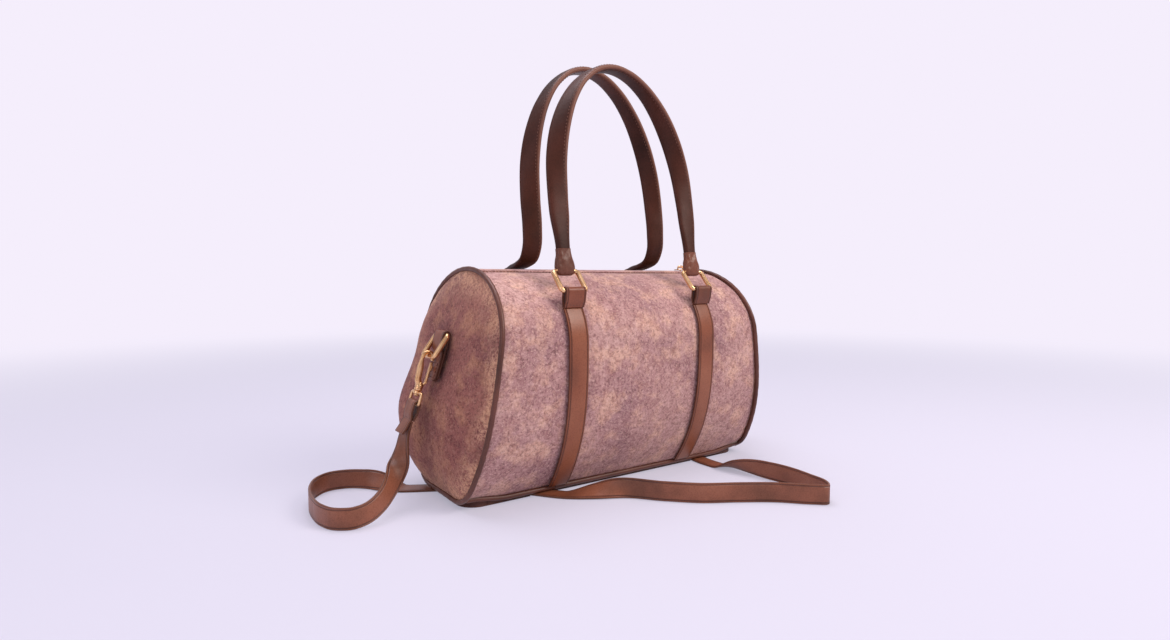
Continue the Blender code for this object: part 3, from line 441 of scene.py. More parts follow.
def suede_finish(name, base, cloud, shade, worn, rubbed, scuffed=None):
    mat, shader = new_finish(name)
    broad = blotches(mat, 70, 3.0, 0.55)
    colour = ramp(mat, broad, (0.34, shade), (0.52, base), (0.68, cloud))
    clouds = ramp(mat, blotches(mat, 22, 4.0, 0.6, (3, 1, 2)), (0.48, "#000000"), (0.62, "#d0d0d0"))
    colour = mixed(mat, clouds, colour, paint(worn))
    vein = ramp(mat, blotches(mat, 9, 5.0, 0.65, (7, 4, 1)),
                (0.36, "#dccbcd"), (0.52, "#fbf8f8"), (0.62, "#ffffff"))
    colour = mixed(mat, 0.8, colour, vein, "MULTIPLY")
    crackle = ramp(mat, blotches(mat, 2.6, 4.0, 0.8, (2, 9, 5)),
                   (0.38, "#96797b"), (0.50, "#f1e9e8"), (0.60, "#ffffff"))
    colour = mixed(mat, 0.7, colour, crackle, "MULTIPLY")
    nap = ramp(mat, blotches(mat, 1.9, 3.0, 0.75, (4, 4, 8)), (0.51, "#000000"), (0.70, "#c8c8c8"))
    colour = mixed(mat, nap, colour, paint(rubbed))
    if scuffed:
        near = remap(mat, map_y(mat), 0.0, SCUFF_REACH, 1.0, 0.0)
        broken = ramp(mat, blotches(mat, 2.6, 5.0, 0.8, (6, 3, 8)), (0.42, "#000000"), (0.58, "#ffffff"))
        here = ramp(mat, blotches(mat, 34, 2.0, 0.5, (1, 7, 2)), (0.38, "#808080"), (0.55, "#ffffff"))
        share = maths(mat, "MULTIPLY", maths(mat, "MULTIPLY", near, broken), here)
        colour = mixed(mat, share, colour, paint(scuffed))
    wire(mat, shader, {"Base Color": colour, "Roughness": 0.86, "Sheen Weight": 0.08,
                       "Sheen Roughness": 0.5})
    bumped(mat, shader, (blotches(mat, 14, 4.0, 0.6), 0.0012, 0.30),
           (blotches(mat, 1.6, 3.0, 0.7), 0.0005, 0.60))
    return mat


suede = suede_finish("rubbed mauve suede", "#b98f8b", "#caa39b", "#a37b7d", "#e2b89f", "#e5c1b4")
# The ends' copy is browner, and darker as painted shade.
end_suede_with_painted_shade = suede_finish("browner end suede, darker as painted shade", "#935950", "#ab715f", "#784544", "#c08a68",
                         "#bb8b77", "#dcab88")
# The base's suede is dark as painted shade: it stands for the shadow under the bag.
painted_shade_base_suede = suede_finish("base suede darkened as painted shade", "#5e3a33", "#6b443a", "#4b2d2a", "#6f4a3c", "#6b493e")

# %% [markdown]
# ### Trim leather
# Smooth finished cowhide in a reddish brown. The finish coat gives it a soft shine with a broken
# edge, because pores of about 1 mm still show through. A belt's edges are painted darker, and a
# stitch line presses a shallow groove 1.8 mm in from each edge, darkened there as painted shade:
# both are drawn from the UV map, whose units are metres. A handle is a tube whose map's Y runs once
# round it: half-way round, its rolled edge gets a painted highlight, a lighter colour where light catches it.
# %% Leather
GROOVE_IN, GROOVE_HALF, PAINTED_EDGE = 0.0018, 0.0009, 0.0009
HIGHLIGHT_FULL, HIGHLIGHT_NONE = -0.93, -0.60            # cosine of the way round a tube, -1 at its rolled edge: the painted highlight is full at the first and gone at the second


def leather_finish(name, base, light, dark, width=None, shine=0.5, rim=None):
    mat, shader = new_finish(name)
    broad = blotches(mat, 45, 3.0, 0.5)
    colour = ramp(mat, broad, (0.25, dark), (0.50, base), (0.78, light))
    pores = blotches(mat, 1.0, 2.0, 0.6)
    rub = ramp(mat, pores, (0.35, "#c8b6ae"), (0.55, "#ffffff"))
    colour = mixed(mat, 0.5, colour, rub, "MULTIPLY")
    layers = [(blotches(mat, 9, 3.0, 0.5), 0.0006, 0.25), (pores, 0.0002, 0.35)]
    if width:
        away = maths(mat, "ABSOLUTE", maths(mat, "SUBTRACT", map_y(mat), width / 2))
        near = maths(mat, "ABSOLUTE", maths(mat, "SUBTRACT", away, width / 2 - GROOVE_IN))
        line = remap(mat, near, 0.0, GROOVE_HALF)
        edge = remap(mat, away, width / 2 - PAINTED_EDGE, width / 2)
        colour = mixed(mat, edge, colour, paint(dark))
        # Painted shade: the stitch groove is darkened.
        shadow = ramp(mat, line, (0.0, "#8a7068"), (1.0, "#ffffff"))
        colour = mixed(mat, 0.8, colour, shadow, "MULTIPLY")
        layers.append((line, 0.0007, 0.9))
    # Painted highlight: the rolled edge, half-way round a handle, is coloured lighter where light catches it.
    if rim:
        turned = maths(mat, "COSINE", maths(mat, "MULTIPLY", map_y(mat), 2 * pi))
        colour = mixed(mat, remap(mat, turned, HIGHLIGHT_FULL, HIGHLIGHT_NONE, 1.0, 0.0), colour, paint(rim))
    gloss = remap(mat, broad, 0.3, 0.7, 0.46, 0.36)
    wire(mat, shader, {"Base Color": colour, "Roughness": gloss, "IOR": 1.45, "Specular IOR Level": shine})
    bumped(mat, shader, *layers)
    return mat


STRAP_W, SHOULDER_W = 0.0195, 0.0175
KEEPER_W = STRAP_W + 0.0008
leather = leather_finish("brown trim leather", "#77432f", "#86503a", "#5c3323")
welt_leather = leather_finish("dark brown piping leather", "#63382a", "#744535", "#472619")
strap_leather = leather_finish("brown strap leather", "#884c31", "#985c3f", "#5e321f", STRAP_W)
shoulder_leather = leather_finish("brown shoulder strap leather", "#8f563d", "#a1664a", "#613823",
                                  SHOULDER_W)
# The handle's rim colour is a painted highlight along its rolled edge.
handle_leather = leather_finish("brown handle leather", "#48261b", "#593126", "#331b13", shine=0.20,
                                rim="#7a5142")
keeper_leather = leather_finish("brown keeper leather", "#7c4129", "#8c4f35", "#56301f", KEEPER_W)

# %% [markdown]
# ### Metal, thread, tape and cloth
# The rings are cast zinc with a pale gold plating: a mirror with a trace of fine wear. Thread is
# matt polyester. The lining is a plain weave.
# %% Plated metal and matt cloth
def plated_finish(name, first, second, rough):
    mat, shader = new_finish(name)
    wear = blotches(mat, 14.0, 3.0, 0.5)
    wire(mat, shader, {"Base Color": ramp(mat, wear, (0.35, first), (0.65, second)), "Metallic": 1.0,
                       "Roughness": remap(mat, wear, 0.3, 0.7, rough, rough + 0.10)})
    bumped(mat, shader, (blotches(mat, 4.0, 2.0, 0.5), 0.0001, 0.15))
    return mat


def matt_finish(name, first, second, spot_mm, rough=0.8, depth=0.0002):
    mat, shader = new_finish(name)
    grain = blotches(mat, spot_mm, 3.0, 0.6)
    wire(mat, shader, {"Base Color": ramp(mat, grain, (0.35, first), (0.65, second)), "Roughness": rough})
    bumped(mat, shader, (grain, depth, 0.6))
    return mat


gold = plated_finish("pale gold plating", "#e2b07c", "#f0c595", 0.24)
zip_metal = plated_finish("zip metal", "#a97d4c", "#c39a68", 0.32)
thread = matt_finish("brown thread", "#5c3529", "#7a4c3c", 0.6, 0.75, 0.0001)
zip_tape = matt_finish("woven zip tape", "#4a2f28", "#5b3b32", 0.7)
lining_cloth = matt_finish("lining cloth", "#8c7667", "#9d8878", 0.8)
board_finish = matt_finish("grey board", "#6d655c", "#7b7369", 1.5)

# %% [markdown]
# ## Floor and light
# A pale paper sweep: a floor that turns up into a wall far behind. The light is soft and comes
# mostly from above and the front right, so the bag's left end falls into a warm shade. Far from
# the bag the paper shows its own even colour, as in an overexposed studio shot. Near the bag it
# keeps more of its own shading, and so its shadows.
# %% Floor and backdrop
SWEEP_HALF, SWEEP_BACK, SWEEP_BEND, SWEEP_LENGTH, SWEEP_FRONT = 5.0, 3.6, 1.6, 9.0, -4.0
FLOOR_GLOW, NEAR, FAR = 0.40, 0.35, 1.9      # share of glow near the bag, and where it starts to grow
TINT_NEAR, TINT_FAR = 0.3, 2.4


def sweep_place(u, v):
    run, start = v * SWEEP_LENGTH + SWEEP_FRONT, SWEEP_BACK - SWEEP_BEND
    x = (u - 0.5) * 2 * SWEEP_HALF
    if run <= start:
        return Vector((x, run, 0))
    a = min((run - start) / SWEEP_BEND, pi / 2)
    up = SWEEP_BEND * (1 - cos(a)) + max(0.0, run - start - SWEEP_BEND * pi / 2)
    return Vector((x, start + SWEEP_BEND * sin(a), up))


sweep = bend_sheet("paper_sweep", sweep_place, 8, 60)
bpy.ops.object.shade_smooth()
sweep.rotation_euler = (0, 0, radians(-CAMERA_TURN))
paper, paper_shader = new_finish("pale lavender paper")
wire(paper, paper_shader, {"Base Color": paint("#cfccda"), "Roughness": 0.9})
spot = add(paper, "ShaderNodeTexCoord").outputs["Object"]
distance = add(paper, "ShaderNodeVectorMath", {0: spot}, operation="LENGTH").outputs["Value"]
far_share = remap(paper, distance, TINT_NEAR, TINT_FAR, way="SMOOTHERSTEP")
sky = ramp(paper, far_share, (0.0, "#ebe7f9"), (1.0, "#f5eefc"))
glow = add(paper, "ShaderNodeEmission", {"Color": sky, "Strength": 1.0})
rays = add(paper, "ShaderNodeLightPath").outputs
mirrored = maths(paper, "MAXIMUM", rays["Is Glossy Ray"], rays["Is Transmission Ray"])
seen = maths(paper, "MAXIMUM", rays["Is Camera Ray"], mirrored)
rise_share = remap(paper, distance, NEAR, FAR, FLOOR_GLOW, 1.0, "SMOOTHSTEP")
share = maths(paper, "MULTIPLY", seen, rise_share)
paper_mix = add(paper, "ShaderNodeMixShader", {0: share, 1: paper_shader.outputs[0], 2: glow.outputs[0]})
output = [n for n in paper.node_tree.nodes if n.type == "OUTPUT_MATERIAL"][0]
wire(paper, output, {"Surface": paper_mix.outputs[0]})
sweep.data.materials.append(paper)

# %% Lamps and world
LAMPS = (("key", (0.75, -1.15, 1.25), (0, 0, 0.12), 0.9, 21.0, "#fff6ee"),
         ("top", (-0.1, 0.25, 1.6), (0, 0, 0.2), 1.2, 15.0, "#fbf6ff"),
         ("left", (-1.6, -0.5, 0.8), (0, 0, 0.1), 1.2, 5.0, "#f4efff"))
for name, place, aim, size, power, colour in LAMPS:
    data = bpy.data.lights.new(name, "AREA")
    data.shape = "DISK"
    data.size = size
    data.energy = power
    data.color = paint(colour)[:3]
    lamp = in_scene(name, data)
    lamp.location = place
    lamp.rotation_euler = (Vector(aim) - Vector(place)).to_track_quat("-Z", "Y").to_euler()
world = bpy.data.worlds.new("studio air")
bpy.context.scene.world = world
world.use_nodes = True
air = world.node_tree.nodes["Background"]
air.inputs["Color"].default_value = paint("#f3eefb")
air.inputs["Strength"].default_value = 0.50
bpy.context.scene.view_settings.view_transform = "Standard"

# %% [markdown]
# ## Front and back
# Each side of the bag is one piece of suede, from the seam at the base, up the wall and over the
# dome to the seam of the zip. It is bent from a flat sheet. The hide is soft, so it sags a little
# between the seams and puckers where it is gathered into the piping. All of that goes inwards,
# because the straps lie on the surface.
# %% Side panels
SIDES = (("front", -1), ("back", 1))
PANEL_LOW = PIPING_Z + EDGE
SHEET_LOW = PIPING_Z + TUCKED
PANEL_FACE, SUEDE_T = 0.0001, 0.0012
SAG, PUCKER, NAP_RISE, TUCK = 0.0010, 0.0004, 0.0002, 0.0009
WIDE_WAVES, FINE_WAVES, PUCKER_WAVES = 16.0, 48.0, 620.0       # per metre
SIDE_RUN, FOOT_EASE, TOP_EASE = 0.2, 0.002, 0.001
PUCKER_REACH, TUCK_REACH = 0.010, 0.0022                       # how fast they fade from the seam


def hide_dip(x, y, z, from_seam):
    """How far the hide sits below its plain surface."""
    wide = noise.noise(Vector((x, y, z)) * WIDE_WAVES)
    fine = noise.noise(Vector((x * 1.4, y, z)) * FINE_WAVES)
    pucker = sin((z + 0.6 * abs(y)) * PUCKER_WAVES + 3 * wide) * exp(-from_seam / PUCKER_REACH)
    return (PANEL_FACE + SAG * (0.5 + 0.5 * wide) + NAP_RISE * (1 + fine) + PUCKER * (1 + pucker) * 0.5
            + TUCK * exp(-from_seam / TUCK_REACH))


def make_side(name, side):
    def place(u, v):
        y, z, ny, nz = side_profile(v, SHEET_LOW, SEAM_Y + GAP)
        reach = end_x(z) - TUCKED
        x = -side * (2 * u - 1) * reach
        seam = min(reach - abs(x), max(0.0, z - SHEET_LOW) + FOOT_EASE, (1 - v) * SIDE_RUN + TOP_EASE)
        dip = hide_dip(x, side * y, z, seam)
        if z < CORNER_TOP:
            climb = (z - SHEET_LOW) / (CORNER_TOP - SHEET_LOW)
            round_y, round_z = corner_point(CORNER_MIDDLE + (-CORNER_LEAN - CORNER_MIDDLE) * climb)
            share = near_end(x, reach)
            y, z = y + (round_y - y) * share, z + (round_z - z) * share
        return Vector((x, side * (y - ny * dip), z - nz * dip))

    piece = bend_sheet(name, place, 150, 90, (BODY_LENGTH, 0.24))
    return modify(piece, "SOLIDIFY", thickness=SUEDE_T, offset=-1.0)


for word, side in SIDES:
    sheet = dress(make_side(word + "_suede", side), suede, "bag", [word + "_panel"])
    print(word, "panel:", len(sheet.data.polygons), "faces")

# %% [markdown]
# ## Ends
# The end is cut from one flat piece too, but it is pushed out by what the bag holds, like a
# pillow, and most at the back, low down. The sheet is rolled round the end's outline, and its
# second direction runs from the seam to the middle, where the points meet in one.
# %% Outline and swell of an end
ENDS = (("left", -1), ("right", 1))
BULGE_UPPER, BULGE_LOWER, BULGE_LEAN, BULGE_BACK = 0.012, 0.021, 0.30, 1.80
BULGE_TOP_Z, BULGE_RAMP, BULGE_EXP, BULGE_CENTRE_Z = 0.130, 0.060, 2.6, 0.095
PANEL_T, END_SUEDE_T = 0.0022, 0.0014
SLUMP, SLUMP_Y, SLUMP_Z, SLUMP_R = 0.0050, 0.046, 0.060, 0.026
END_WAVES, END_SAG, END_PUCKER, END_TUCK = 22.0, 0.0006, 0.0004, 0.0006
END_PUCKER_REACH, END_TUCK_REACH = 0.009, 0.002
END_STEP, END_ROWS = 0.0045, 34


def end_outline(pull_in, step):
    """Even points round the bag's end, from the middle of its foot, pull_in inside the piping. The
    foot turns up into the wall in a round corner that meets it without a kink."""
    foot_z = PIPING_Z + pull_in
    half = [(0.0, foot_z), (CORNER_Y * 0.5, foot_z)]
    for i in range(6):
        half.append(corner_point(radians(270) + (radians(90) - CORNER_LEAN) * i / 6, pull_in))
    for i in range(20):
        y, z, ny, nz = side_profile(i / 20, CORNER_TOP, 0.0)
        half.append((y - ny * pull_in, z - nz * pull_in))
    loop = half + [(0.0, BODY_HEIGHT - pull_in)] + [(-y, z) for y, z in half[::-1]]
    return smooth_route([(0, y, z) for y, z in loop], step)


def end_swell(y, z, radius):
    lower = ease(BULGE_TOP_Z - z, 0.0, BULGE_RAMP)
    lean = 1 + BULGE_LEAN * y / HALF_DEPTH + BULGE_BACK * max(0.0, y / HALF_DEPTH) ** 2
    slump = SLUMP * exp(-((y - SLUMP_Y) ** 2 + (z - SLUMP_Z) ** 2) / (2 * SLUMP_R ** 2))
    swell = BULGE_UPPER + (BULGE_LOWER - BULGE_UPPER) * lower
    return swell * lean * (1 - radius ** BULGE_EXP) + slump

# %% End panels
def make_end(name, side):
    loop = end_outline(TUCKED, END_STEP)
    count = len(loop) - 1
    centre = Vector((0, 0, BULGE_CENTRE_Z))

    def place(u, v):
        i = round(u * count)
        rim = loop[i if side > 0 else count - i]
        share = 1 - round(v * END_ROWS) / END_ROWS
        y, z = rim.y * share, BULGE_CENTRE_Z + (rim.z - BULGE_CENTRE_Z) * share
        seam = (1 - share) * (rim - centre).length
        wide = noise.noise(Vector((side * 5.0, y, z)) * END_WAVES)
        pucker = END_PUCKER * sin(i * 2.1 + 3 * wide) * exp(-seam / END_PUCKER_REACH)
        x = end_x(z) + end_swell(y, z, share) + PANEL_T / 2 - END_SAG * (1 + wide)
        x += pucker * (share < 1) - END_TUCK * exp(-seam / END_TUCK_REACH)
        return Vector((side * x, y, z))

    piece = bend_sheet(name, place, count, END_ROWS, (0.55, 0.09), join=True)
    return modify(piece, "SOLIDIFY", thickness=END_SUEDE_T, offset=-1.0)


for word, side in ENDS:
    sheet = make_end("end_suede_" + word, side)
    dress(sheet, end_suede_with_painted_shade, "bag", ["end_panel_" + word])
    print(word, "end:", len(sheet.data.vertices), "points")

# %% [markdown]
# ## Piping
# A strip of leather is folded round a cord and caught in the seam. It shows as a round welt. The
# leather is pulled tight round the cord, but never quite evenly, so its thickness wavers by a
# tenth of a millimetre and it has a tiny crease every few millimetres.
# %% Piping
WELT_STEP, WELT_STEPS = 0.0028, 100


def welt_radius(i):
    return PIPING_R * (0.96 + 0.035 * sin(i * 1.7) + 0.03 * noise.noise(Vector((i * 0.31, 0.0, 0.0))))


for word, side in ENDS:
    loop = [Vector((side * end_x(p.z), p.y, p.z)) for p in end_outline(0.0, WELT_STEP)[:-1]]
    lean = Vector((1.0, 0.0, side * END_SPLAY / BODY_HEIGHT))
    welt = tube("end_welt_" + word, loop, welt_radius, closed=True, sides=12, plane=lean)
    dress(welt, welt_leather, "bag", ["end_piping_" + word])
base_y = half_depth(PIPING_Z)
end_y, end_z = corner_point(CORNER_MIDDLE)
reach = end_x(PIPING_Z) - EDGE
for word, side in SIDES:
    line = []
    for i in range(WELT_STEPS + 1):
        x = -reach + 2 * reach * i / WELT_STEPS
        share = near_end(x, reach)
        line.append(Vector((x, side * (base_y + (end_y - base_y) * share),
                            PIPING_Z + (end_z - PIPING_Z) * share)))
    welt = tube(word + "_base_welt", line, welt_radius, sides=12)
    dress(welt, welt_leather, "bag", [word + "_base_piping"])

# %% [markdown]
# ## Shoulder strap
# The strap is one belt of leather that lies round the bag and under it. It stands on its edge
# where it is free and lies flat in the base's channels. The route's points are listed, and
# the fourth number says how far the strap has turned up: 0 is flat, 1 is on its edge. It is cut
# where it crosses a joint, into separate stretches.
# %% Where ring, hook and eye hang
SHOULDER_T, FLOOR_GAP = 0.0018, 0.0002
EDGE_Z = SHOULDER_W / 2 + FLOOR_GAP
FLAT_Z = SHOULDER_T / 2 + FLOOR_GAP
STRAP_T, WIRE_D, RING_PLAY, RING_H = 0.0018, 0.0033, 0.0016, 0.022
TAB_Z, TAB_L, TAB_SLOPE, RING_HANG, HOOK_HANG = 0.141, 0.040, 17.8, 36.0, 19.0
HOOK_DROP, HOOK_BODY_L, COLLAR_L = 0.0009, 0.0245, 0.0042
EYE_BOSS_H, EYE_H, LOOP_L = 0.0030, 0.0095, 0.0140
HOOK_END = HOOK_DROP + HOOK_BODY_L
EYE_TOP = HOOK_END + COLLAR_L + GAP + EYE_BOSS_H / 2
TWIST_L, STRAP_STEP = 0.085, 0.003           # the twist runs out over TWIST_L at each end
STRAIGHT_L = 0.012                           # how far the strap leaves its loop in a straight line


def on_circle(radius, degrees):
    return radius * cos(radians(degrees)), radius * sin(radians(degrees))


def slanted(side, degrees):
    down, out = on_circle(1, degrees)
    return Vector((side * out, 0, -down))


def tab_bar(side):
    stand = (WIRE_D / 2 + GAP + STRAP_T + GAP) / cos(radians(TAB_SLOPE))
    radius = (TAB_Z - BULGE_CENTRE_Z) / (BODY_HEIGHT - BULGE_CENTRE_Z)
    plain = BULGE_UPPER * (1 - radius ** BULGE_EXP)
    return Vector((side * (end_x(TAB_Z) + plain + PANEL_T / 2 + stand), 0, TAB_Z))


def hook_frame(side):
    """Place on the ring's lower bar, direction down the hook, direction away from the bag."""
    u = slanted(side, HOOK_HANG)
    return tab_bar(side) + slanted(side, RING_HANG) * RING_H, u, Vector((side * -u.z, 0, side * u.x))


def eye_bar(side):
    origin, u, _ = hook_frame(side)
    return origin + u * (EYE_TOP + EYE_H)

# %% The strap's points
def drop_route(side, *rest):
    """The strap's end: straight down out of its loop, and then through the rest's points."""
    _, u, _ = hook_frame(side)
    start = eye_bar(side) + u * LOOP_L
    return [(*start, 1.0), (*(start + u * STRAIGHT_L), 1.0), *rest]


def on_edge(*places):
    return [(x, y, EDGE_Z, 1.0) for x, y in places]


def laid_flat(*places):
    return [(x, y, FLAT_Z, 0.0) for x, y in places]


LEFT_DROP = drop_route(-1, (-0.1990, -0.0040, 0.0480, 1.0), (-0.2045, -0.0110, 0.0365, 1.0))
LEFT_CURL = [(-0.2125, -0.0190, 0.0255, 1.0), (-0.2225, -0.0260, 0.0165, 1.0),
             (-0.2345, -0.0305, 0.0108, 1.0)]
LEFT_CURL += on_edge((-0.2470, -0.0310), (-0.2580, -0.0240), (-0.2640, -0.0095))
RUN = on_edge((-0.2655, 0.0090), (-0.2640, 0.0280), (-0.2595, 0.0460), (-0.2515, 0.0620),
              (-0.2395, 0.0715), (-0.2245, 0.0705))
RUN += [(-0.2095, 0.0600, EDGE_Z - 0.0008, 0.9), (-0.1965, 0.0480, 0.0050, 0.45)]
RUN += laid_flat((-0.1825, 0.0375), (-0.1660, 0.0280), (-0.1480, 0.0180), (-0.1300, 0.0050),
                 (-0.1120, -0.0110), (-0.0920, -0.0350), (-0.0740, -0.0590))
RUN += [(-0.0540, -0.0760, 0.0048, 0.35), (-0.0330, -0.0930, EDGE_Z - 0.0012, 0.85)]
RUN += on_edge((-0.0130, -0.1180), (0.0100, -0.1400), (0.0360, -0.1560), (0.0620, -0.1740),
               (0.0840, -0.1960), (0.0935, -0.2030), (0.1010, -0.1960), (0.1060, -0.1760),
               (0.1090, -0.1500))
RUN += [(0.1060, -0.1240, EDGE_Z - 0.0006, 0.9), (0.1020, -0.0980, 0.0060, 0.5)]
RUN += laid_flat((0.1000, -0.0740), (0.1000, -0.0540), (0.1060, -0.0280), (0.1180, 0.0000),
                 (0.1310, 0.0270), (0.1430, 0.0510), (0.1550, 0.0690))
RUN += [(0.1700, 0.0830, 0.0050, 0.45), (0.1880, 0.0910, EDGE_Z - 0.0006, 0.95)]
RIGHT_CURL = on_edge((0.2070, 0.0890), (0.2210, 0.0780))
RIGHT_CURL += [(0.2275, 0.0600, 0.0095, 1.0), (0.2255, 0.0420, 0.0140, 1.0),
               (0.2175, 0.0270, 0.0225, 1.0)]
RIGHT_DROP = drop_route(1, (0.1990, 0.0045, 0.0480, 1.0), (0.2045, 0.0120, 0.0370, 1.0))[::-1]

# %% Sections along the strap
def strap_sections(step):
    """Centre, width direction and part number along the whole strap. The turn goes through the
    curve as a fourth coordinate, so small that it adds nothing to the length."""
    parts = [LEFT_DROP, LEFT_CURL, RUN, RIGHT_CURL, RIGHT_DROP]
    tiny = 1e-4
    knots = [Vector((x, y, z, turn * tiny)) for part in parts for x, y, z, turn in part]
    path = smooth_route(knots, step)
    lengths = [length_of(knots[:n]) for n in range(1, len(knots) + 1)]
    ends_at, count = [], 0
    for part in parts[:-1]:
        count += len(part)
        ends_at.append((lengths[count - 1] + lengths[count]) / 2 / lengths[-1])
    flat = [p.to_3d() for p in path]
    last = len(flat) - 1
    out = []
    for i, (p, t) in enumerate(zip(flat, directions(flat))):
        angle = radians(90) * min(1.0, max(0.0, path[i][3] / tiny))
        level = Vector((-t.y, t.x, 0)).normalized()
        across = level * cos(angle) + t.cross(level) * sin(angle)
        share = ease(min(i, last - i) * step, 0.0, TWIST_L)
        across = (Y_AXIS * (1 - share) + across * share).normalized()
        rest = SHOULDER_W / 2 * abs(across.z) + SHOULDER_T / 2 * cos(angle) + FLOOR_GAP
        out.append((Vector((p.x, p.y, max(p.z, rest))), across, sum(i / last > e for e in ends_at)))
    return out


sections = strap_sections(STRAP_STEP)
print("strap from loop to loop:", round(length_of([p for p, _, _ in sections]), 4), "m")

# %% [markdown]
# The run is cut in two under the base, where nobody sees it, so the parts give six stretches. Each
# one runs on for two steps into the next, and is a little narrower and thinner than the one before
# it, so that no slit opens and no two faces lie in one plane.
# %% Strap stretches
UNDER_BAG = -0.112           # where the run is cut, hidden under the base
RUN_PART = 2
NARROWER, THINNER, FIRST_EXTRA_T = 0.00008, 0.00004, 0.00028
cut_at = min((i for i, s in enumerate(sections) if s[2] == RUN_PART),
             key=lambda i: abs(sections[i][0].x - UNDER_BAG))
stretch_of = [part + (part > RUN_PART or part == RUN_PART and i > cut_at)
              for i, (_, _, part) in enumerate(sections)]
STRETCHES = (("shoulder_drop_left", "strap_drop_left"), ("shoulder_curl_left", "strap_curl_left"),
             ("shoulder_run_left", "strap_run"), ("shoulder_run_right", "strap_run"),
             ("shoulder_curl_right", "strap_curl_right"), ("shoulder_drop_right", "strap_drop_right"))
stretches, stretch_paths = [], []
for number, (name, node) in enumerate(STRETCHES):
    span = [i for i, k in enumerate(stretch_of) if k == number]
    if number < len(STRETCHES) - 1:
        span += [span[-1] + 1, span[-1] + 2]
    path = [sections[i][0] for i in span]
    sides = [sections[i][1] for i in span]
    strip = belt(name, path, lambda i: sides[i], SHOULDER_W - NARROWER * number,
                 SHOULDER_T + FIRST_EXTRA_T - THINNER * number, rows=6)
    dress(strip, shoulder_leather, None, [node])
    stretches.append(strip)
    stretch_paths.append(path)
drop_l, curl_l, run_l, run_r, curl_r, drop_r = stretches
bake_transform(drop_l)
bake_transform(curl_l)
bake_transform(run_l)
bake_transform(run_r)
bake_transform(curl_r)
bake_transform(drop_r)
length_of(stretch_paths[2])
length_of(stretch_paths[3])

# %% [markdown]
# ## One stitch, and a way to sew with it
# A machine stitch is a short arch of waxed thread that dips into the leather at both ends. One is
# modelled, and `sew` sets copies of it along a line, 3.3 mm apart, and joins them in one piece.
# %% The stitch
STITCH_PITCH, SHORT_PITCH = 0.0033, 0.0030
STITCH_HALF, STITCH_ARCH = (0.00125, 0.00036, 0.00032), 0.00034


def only_mesh(piece):
    """Keep a helper's mesh and remove the helper."""
    mesh = piece.data.copy()
    bpy.data.objects.remove(piece, do_unlink=True)
    return mesh


first_stitch = fresh(bpy.ops.mesh.primitive_uv_sphere_add, segments=6, ring_count=4, radius=1.0)
for point in first_stitch.data.vertices:
    x, y, z = point.co
    point.co = (x * STITCH_HALF[0], y * STITCH_HALF[1], z * STITCH_HALF[2] - STITCH_ARCH * x * x)
STITCH = only_mesh(first_stitch)
print("faces in one stitch:", len(STITCH.polygons))

# %% Sewing
def seam(line, away, pitch=STITCH_PITCH):
    """Even places along a line: the point, the direction and the outward direction of each."""
    places, gone, goal = [], 0.0, pitch / 2
    for i, (a, b) in enumerate(zip(line, line[1:])):
        length = (b - a).length
        while goal <= gone + length:
            places.append((a.lerp(b, (goal - gone) / length), (b - a).normalized(), away[i]))
            goal += pitch
        gone += length
    return places


def joined(name, pieces):
    pick(*pieces)
    bpy.ops.object.join()
    pieces[0].name = name
    return pieces[0]


def strew(name, mesh, places):
    """Copies of one small mesh at these places, joined in one piece."""
    bpy.ops.object.select_all(action="DESELECT")
    for point, along, out in places:
        copy = in_scene(name, mesh.copy())
        out = square_to(out, along)
        turn = Matrix((along, out.cross(along), out)).transposed().to_4x4()
        turn.translation = point
        copy.matrix_world = turn
        copy.select_set(True)
    bpy.context.view_layer.objects.active = copy
    bpy.ops.object.join()
    bpy.ops.object.transform_apply(location=True, rotation=True, scale=True)
    return copy


def sew(name, places, body, replaces=()):
    return dress(strew(name, STITCH, places), thread, body, replaces, 80)

# %% [markdown]
# ## Straps on the body
# Each handle hangs from two straps that are sewn up the side of the bag. Their long edges are
# turned under and sewn down, so the middle stands a quarter of a millimetre proud and each edge
# has a row of stitches in a groove.
# %% Body straps
STRAP_X, STRAP_TOP_Z, PADDING, THREAD_RISE = 0.074, 0.164, 0.00025, 0.0002
PLACES = (("left", -STRAP_X), ("right", STRAP_X))
FINE_COUNT, RISE_COUNT = 400, 56


def strap_rise(side, x):
    """Middle line of a body strap and the outward direction along it."""
    steps = [side_profile(i / FINE_COUNT, PANEL_LOW + GAP, SEAM_Y) for i in range(FINE_COUNT + 1)]
    steps = [p for p in steps if p[1] <= STRAP_TOP_Z]
    chosen = [steps[round(i * (len(steps) - 1) / RISE_COUNT)] for i in range(RISE_COUNT + 1)]
    lift = GAP + STRAP_T / 2
    line = [Vector((x, side * (y + ny * lift), z + nz * lift)) for y, z, ny, nz in chosen]
    return line, [Vector((0, side * ny, nz)) for y, z, ny, nz in chosen]


def padded_skin(u, v):
    return PADDING * (1 - (2 * v - 1) ** 4)


for word, side in SIDES:
    for tag, x in PLACES:
        node = f"body_strap_{word}_{tag}"
        line, away = strap_rise(side, x)
        strap = belt(node, line, X_AXIS * side, STRAP_W, STRAP_T, 10, padded_skin)
        dress(strap, strap_leather, "bag", [node])
        rows = []
        for edge in (-1, 1):
            shift = X_AXIS * edge * (STRAP_W / 2 - GROOVE_IN)
            rows += seam([p + shift + a * (STRAP_T / 2 + THREAD_RISE) for p, a in zip(line, away)], away)
        sew(f"strap_stitches_{word}_{tag}", rows, "bag", [node])
print("body strap length:", round(length_of(line), 4))

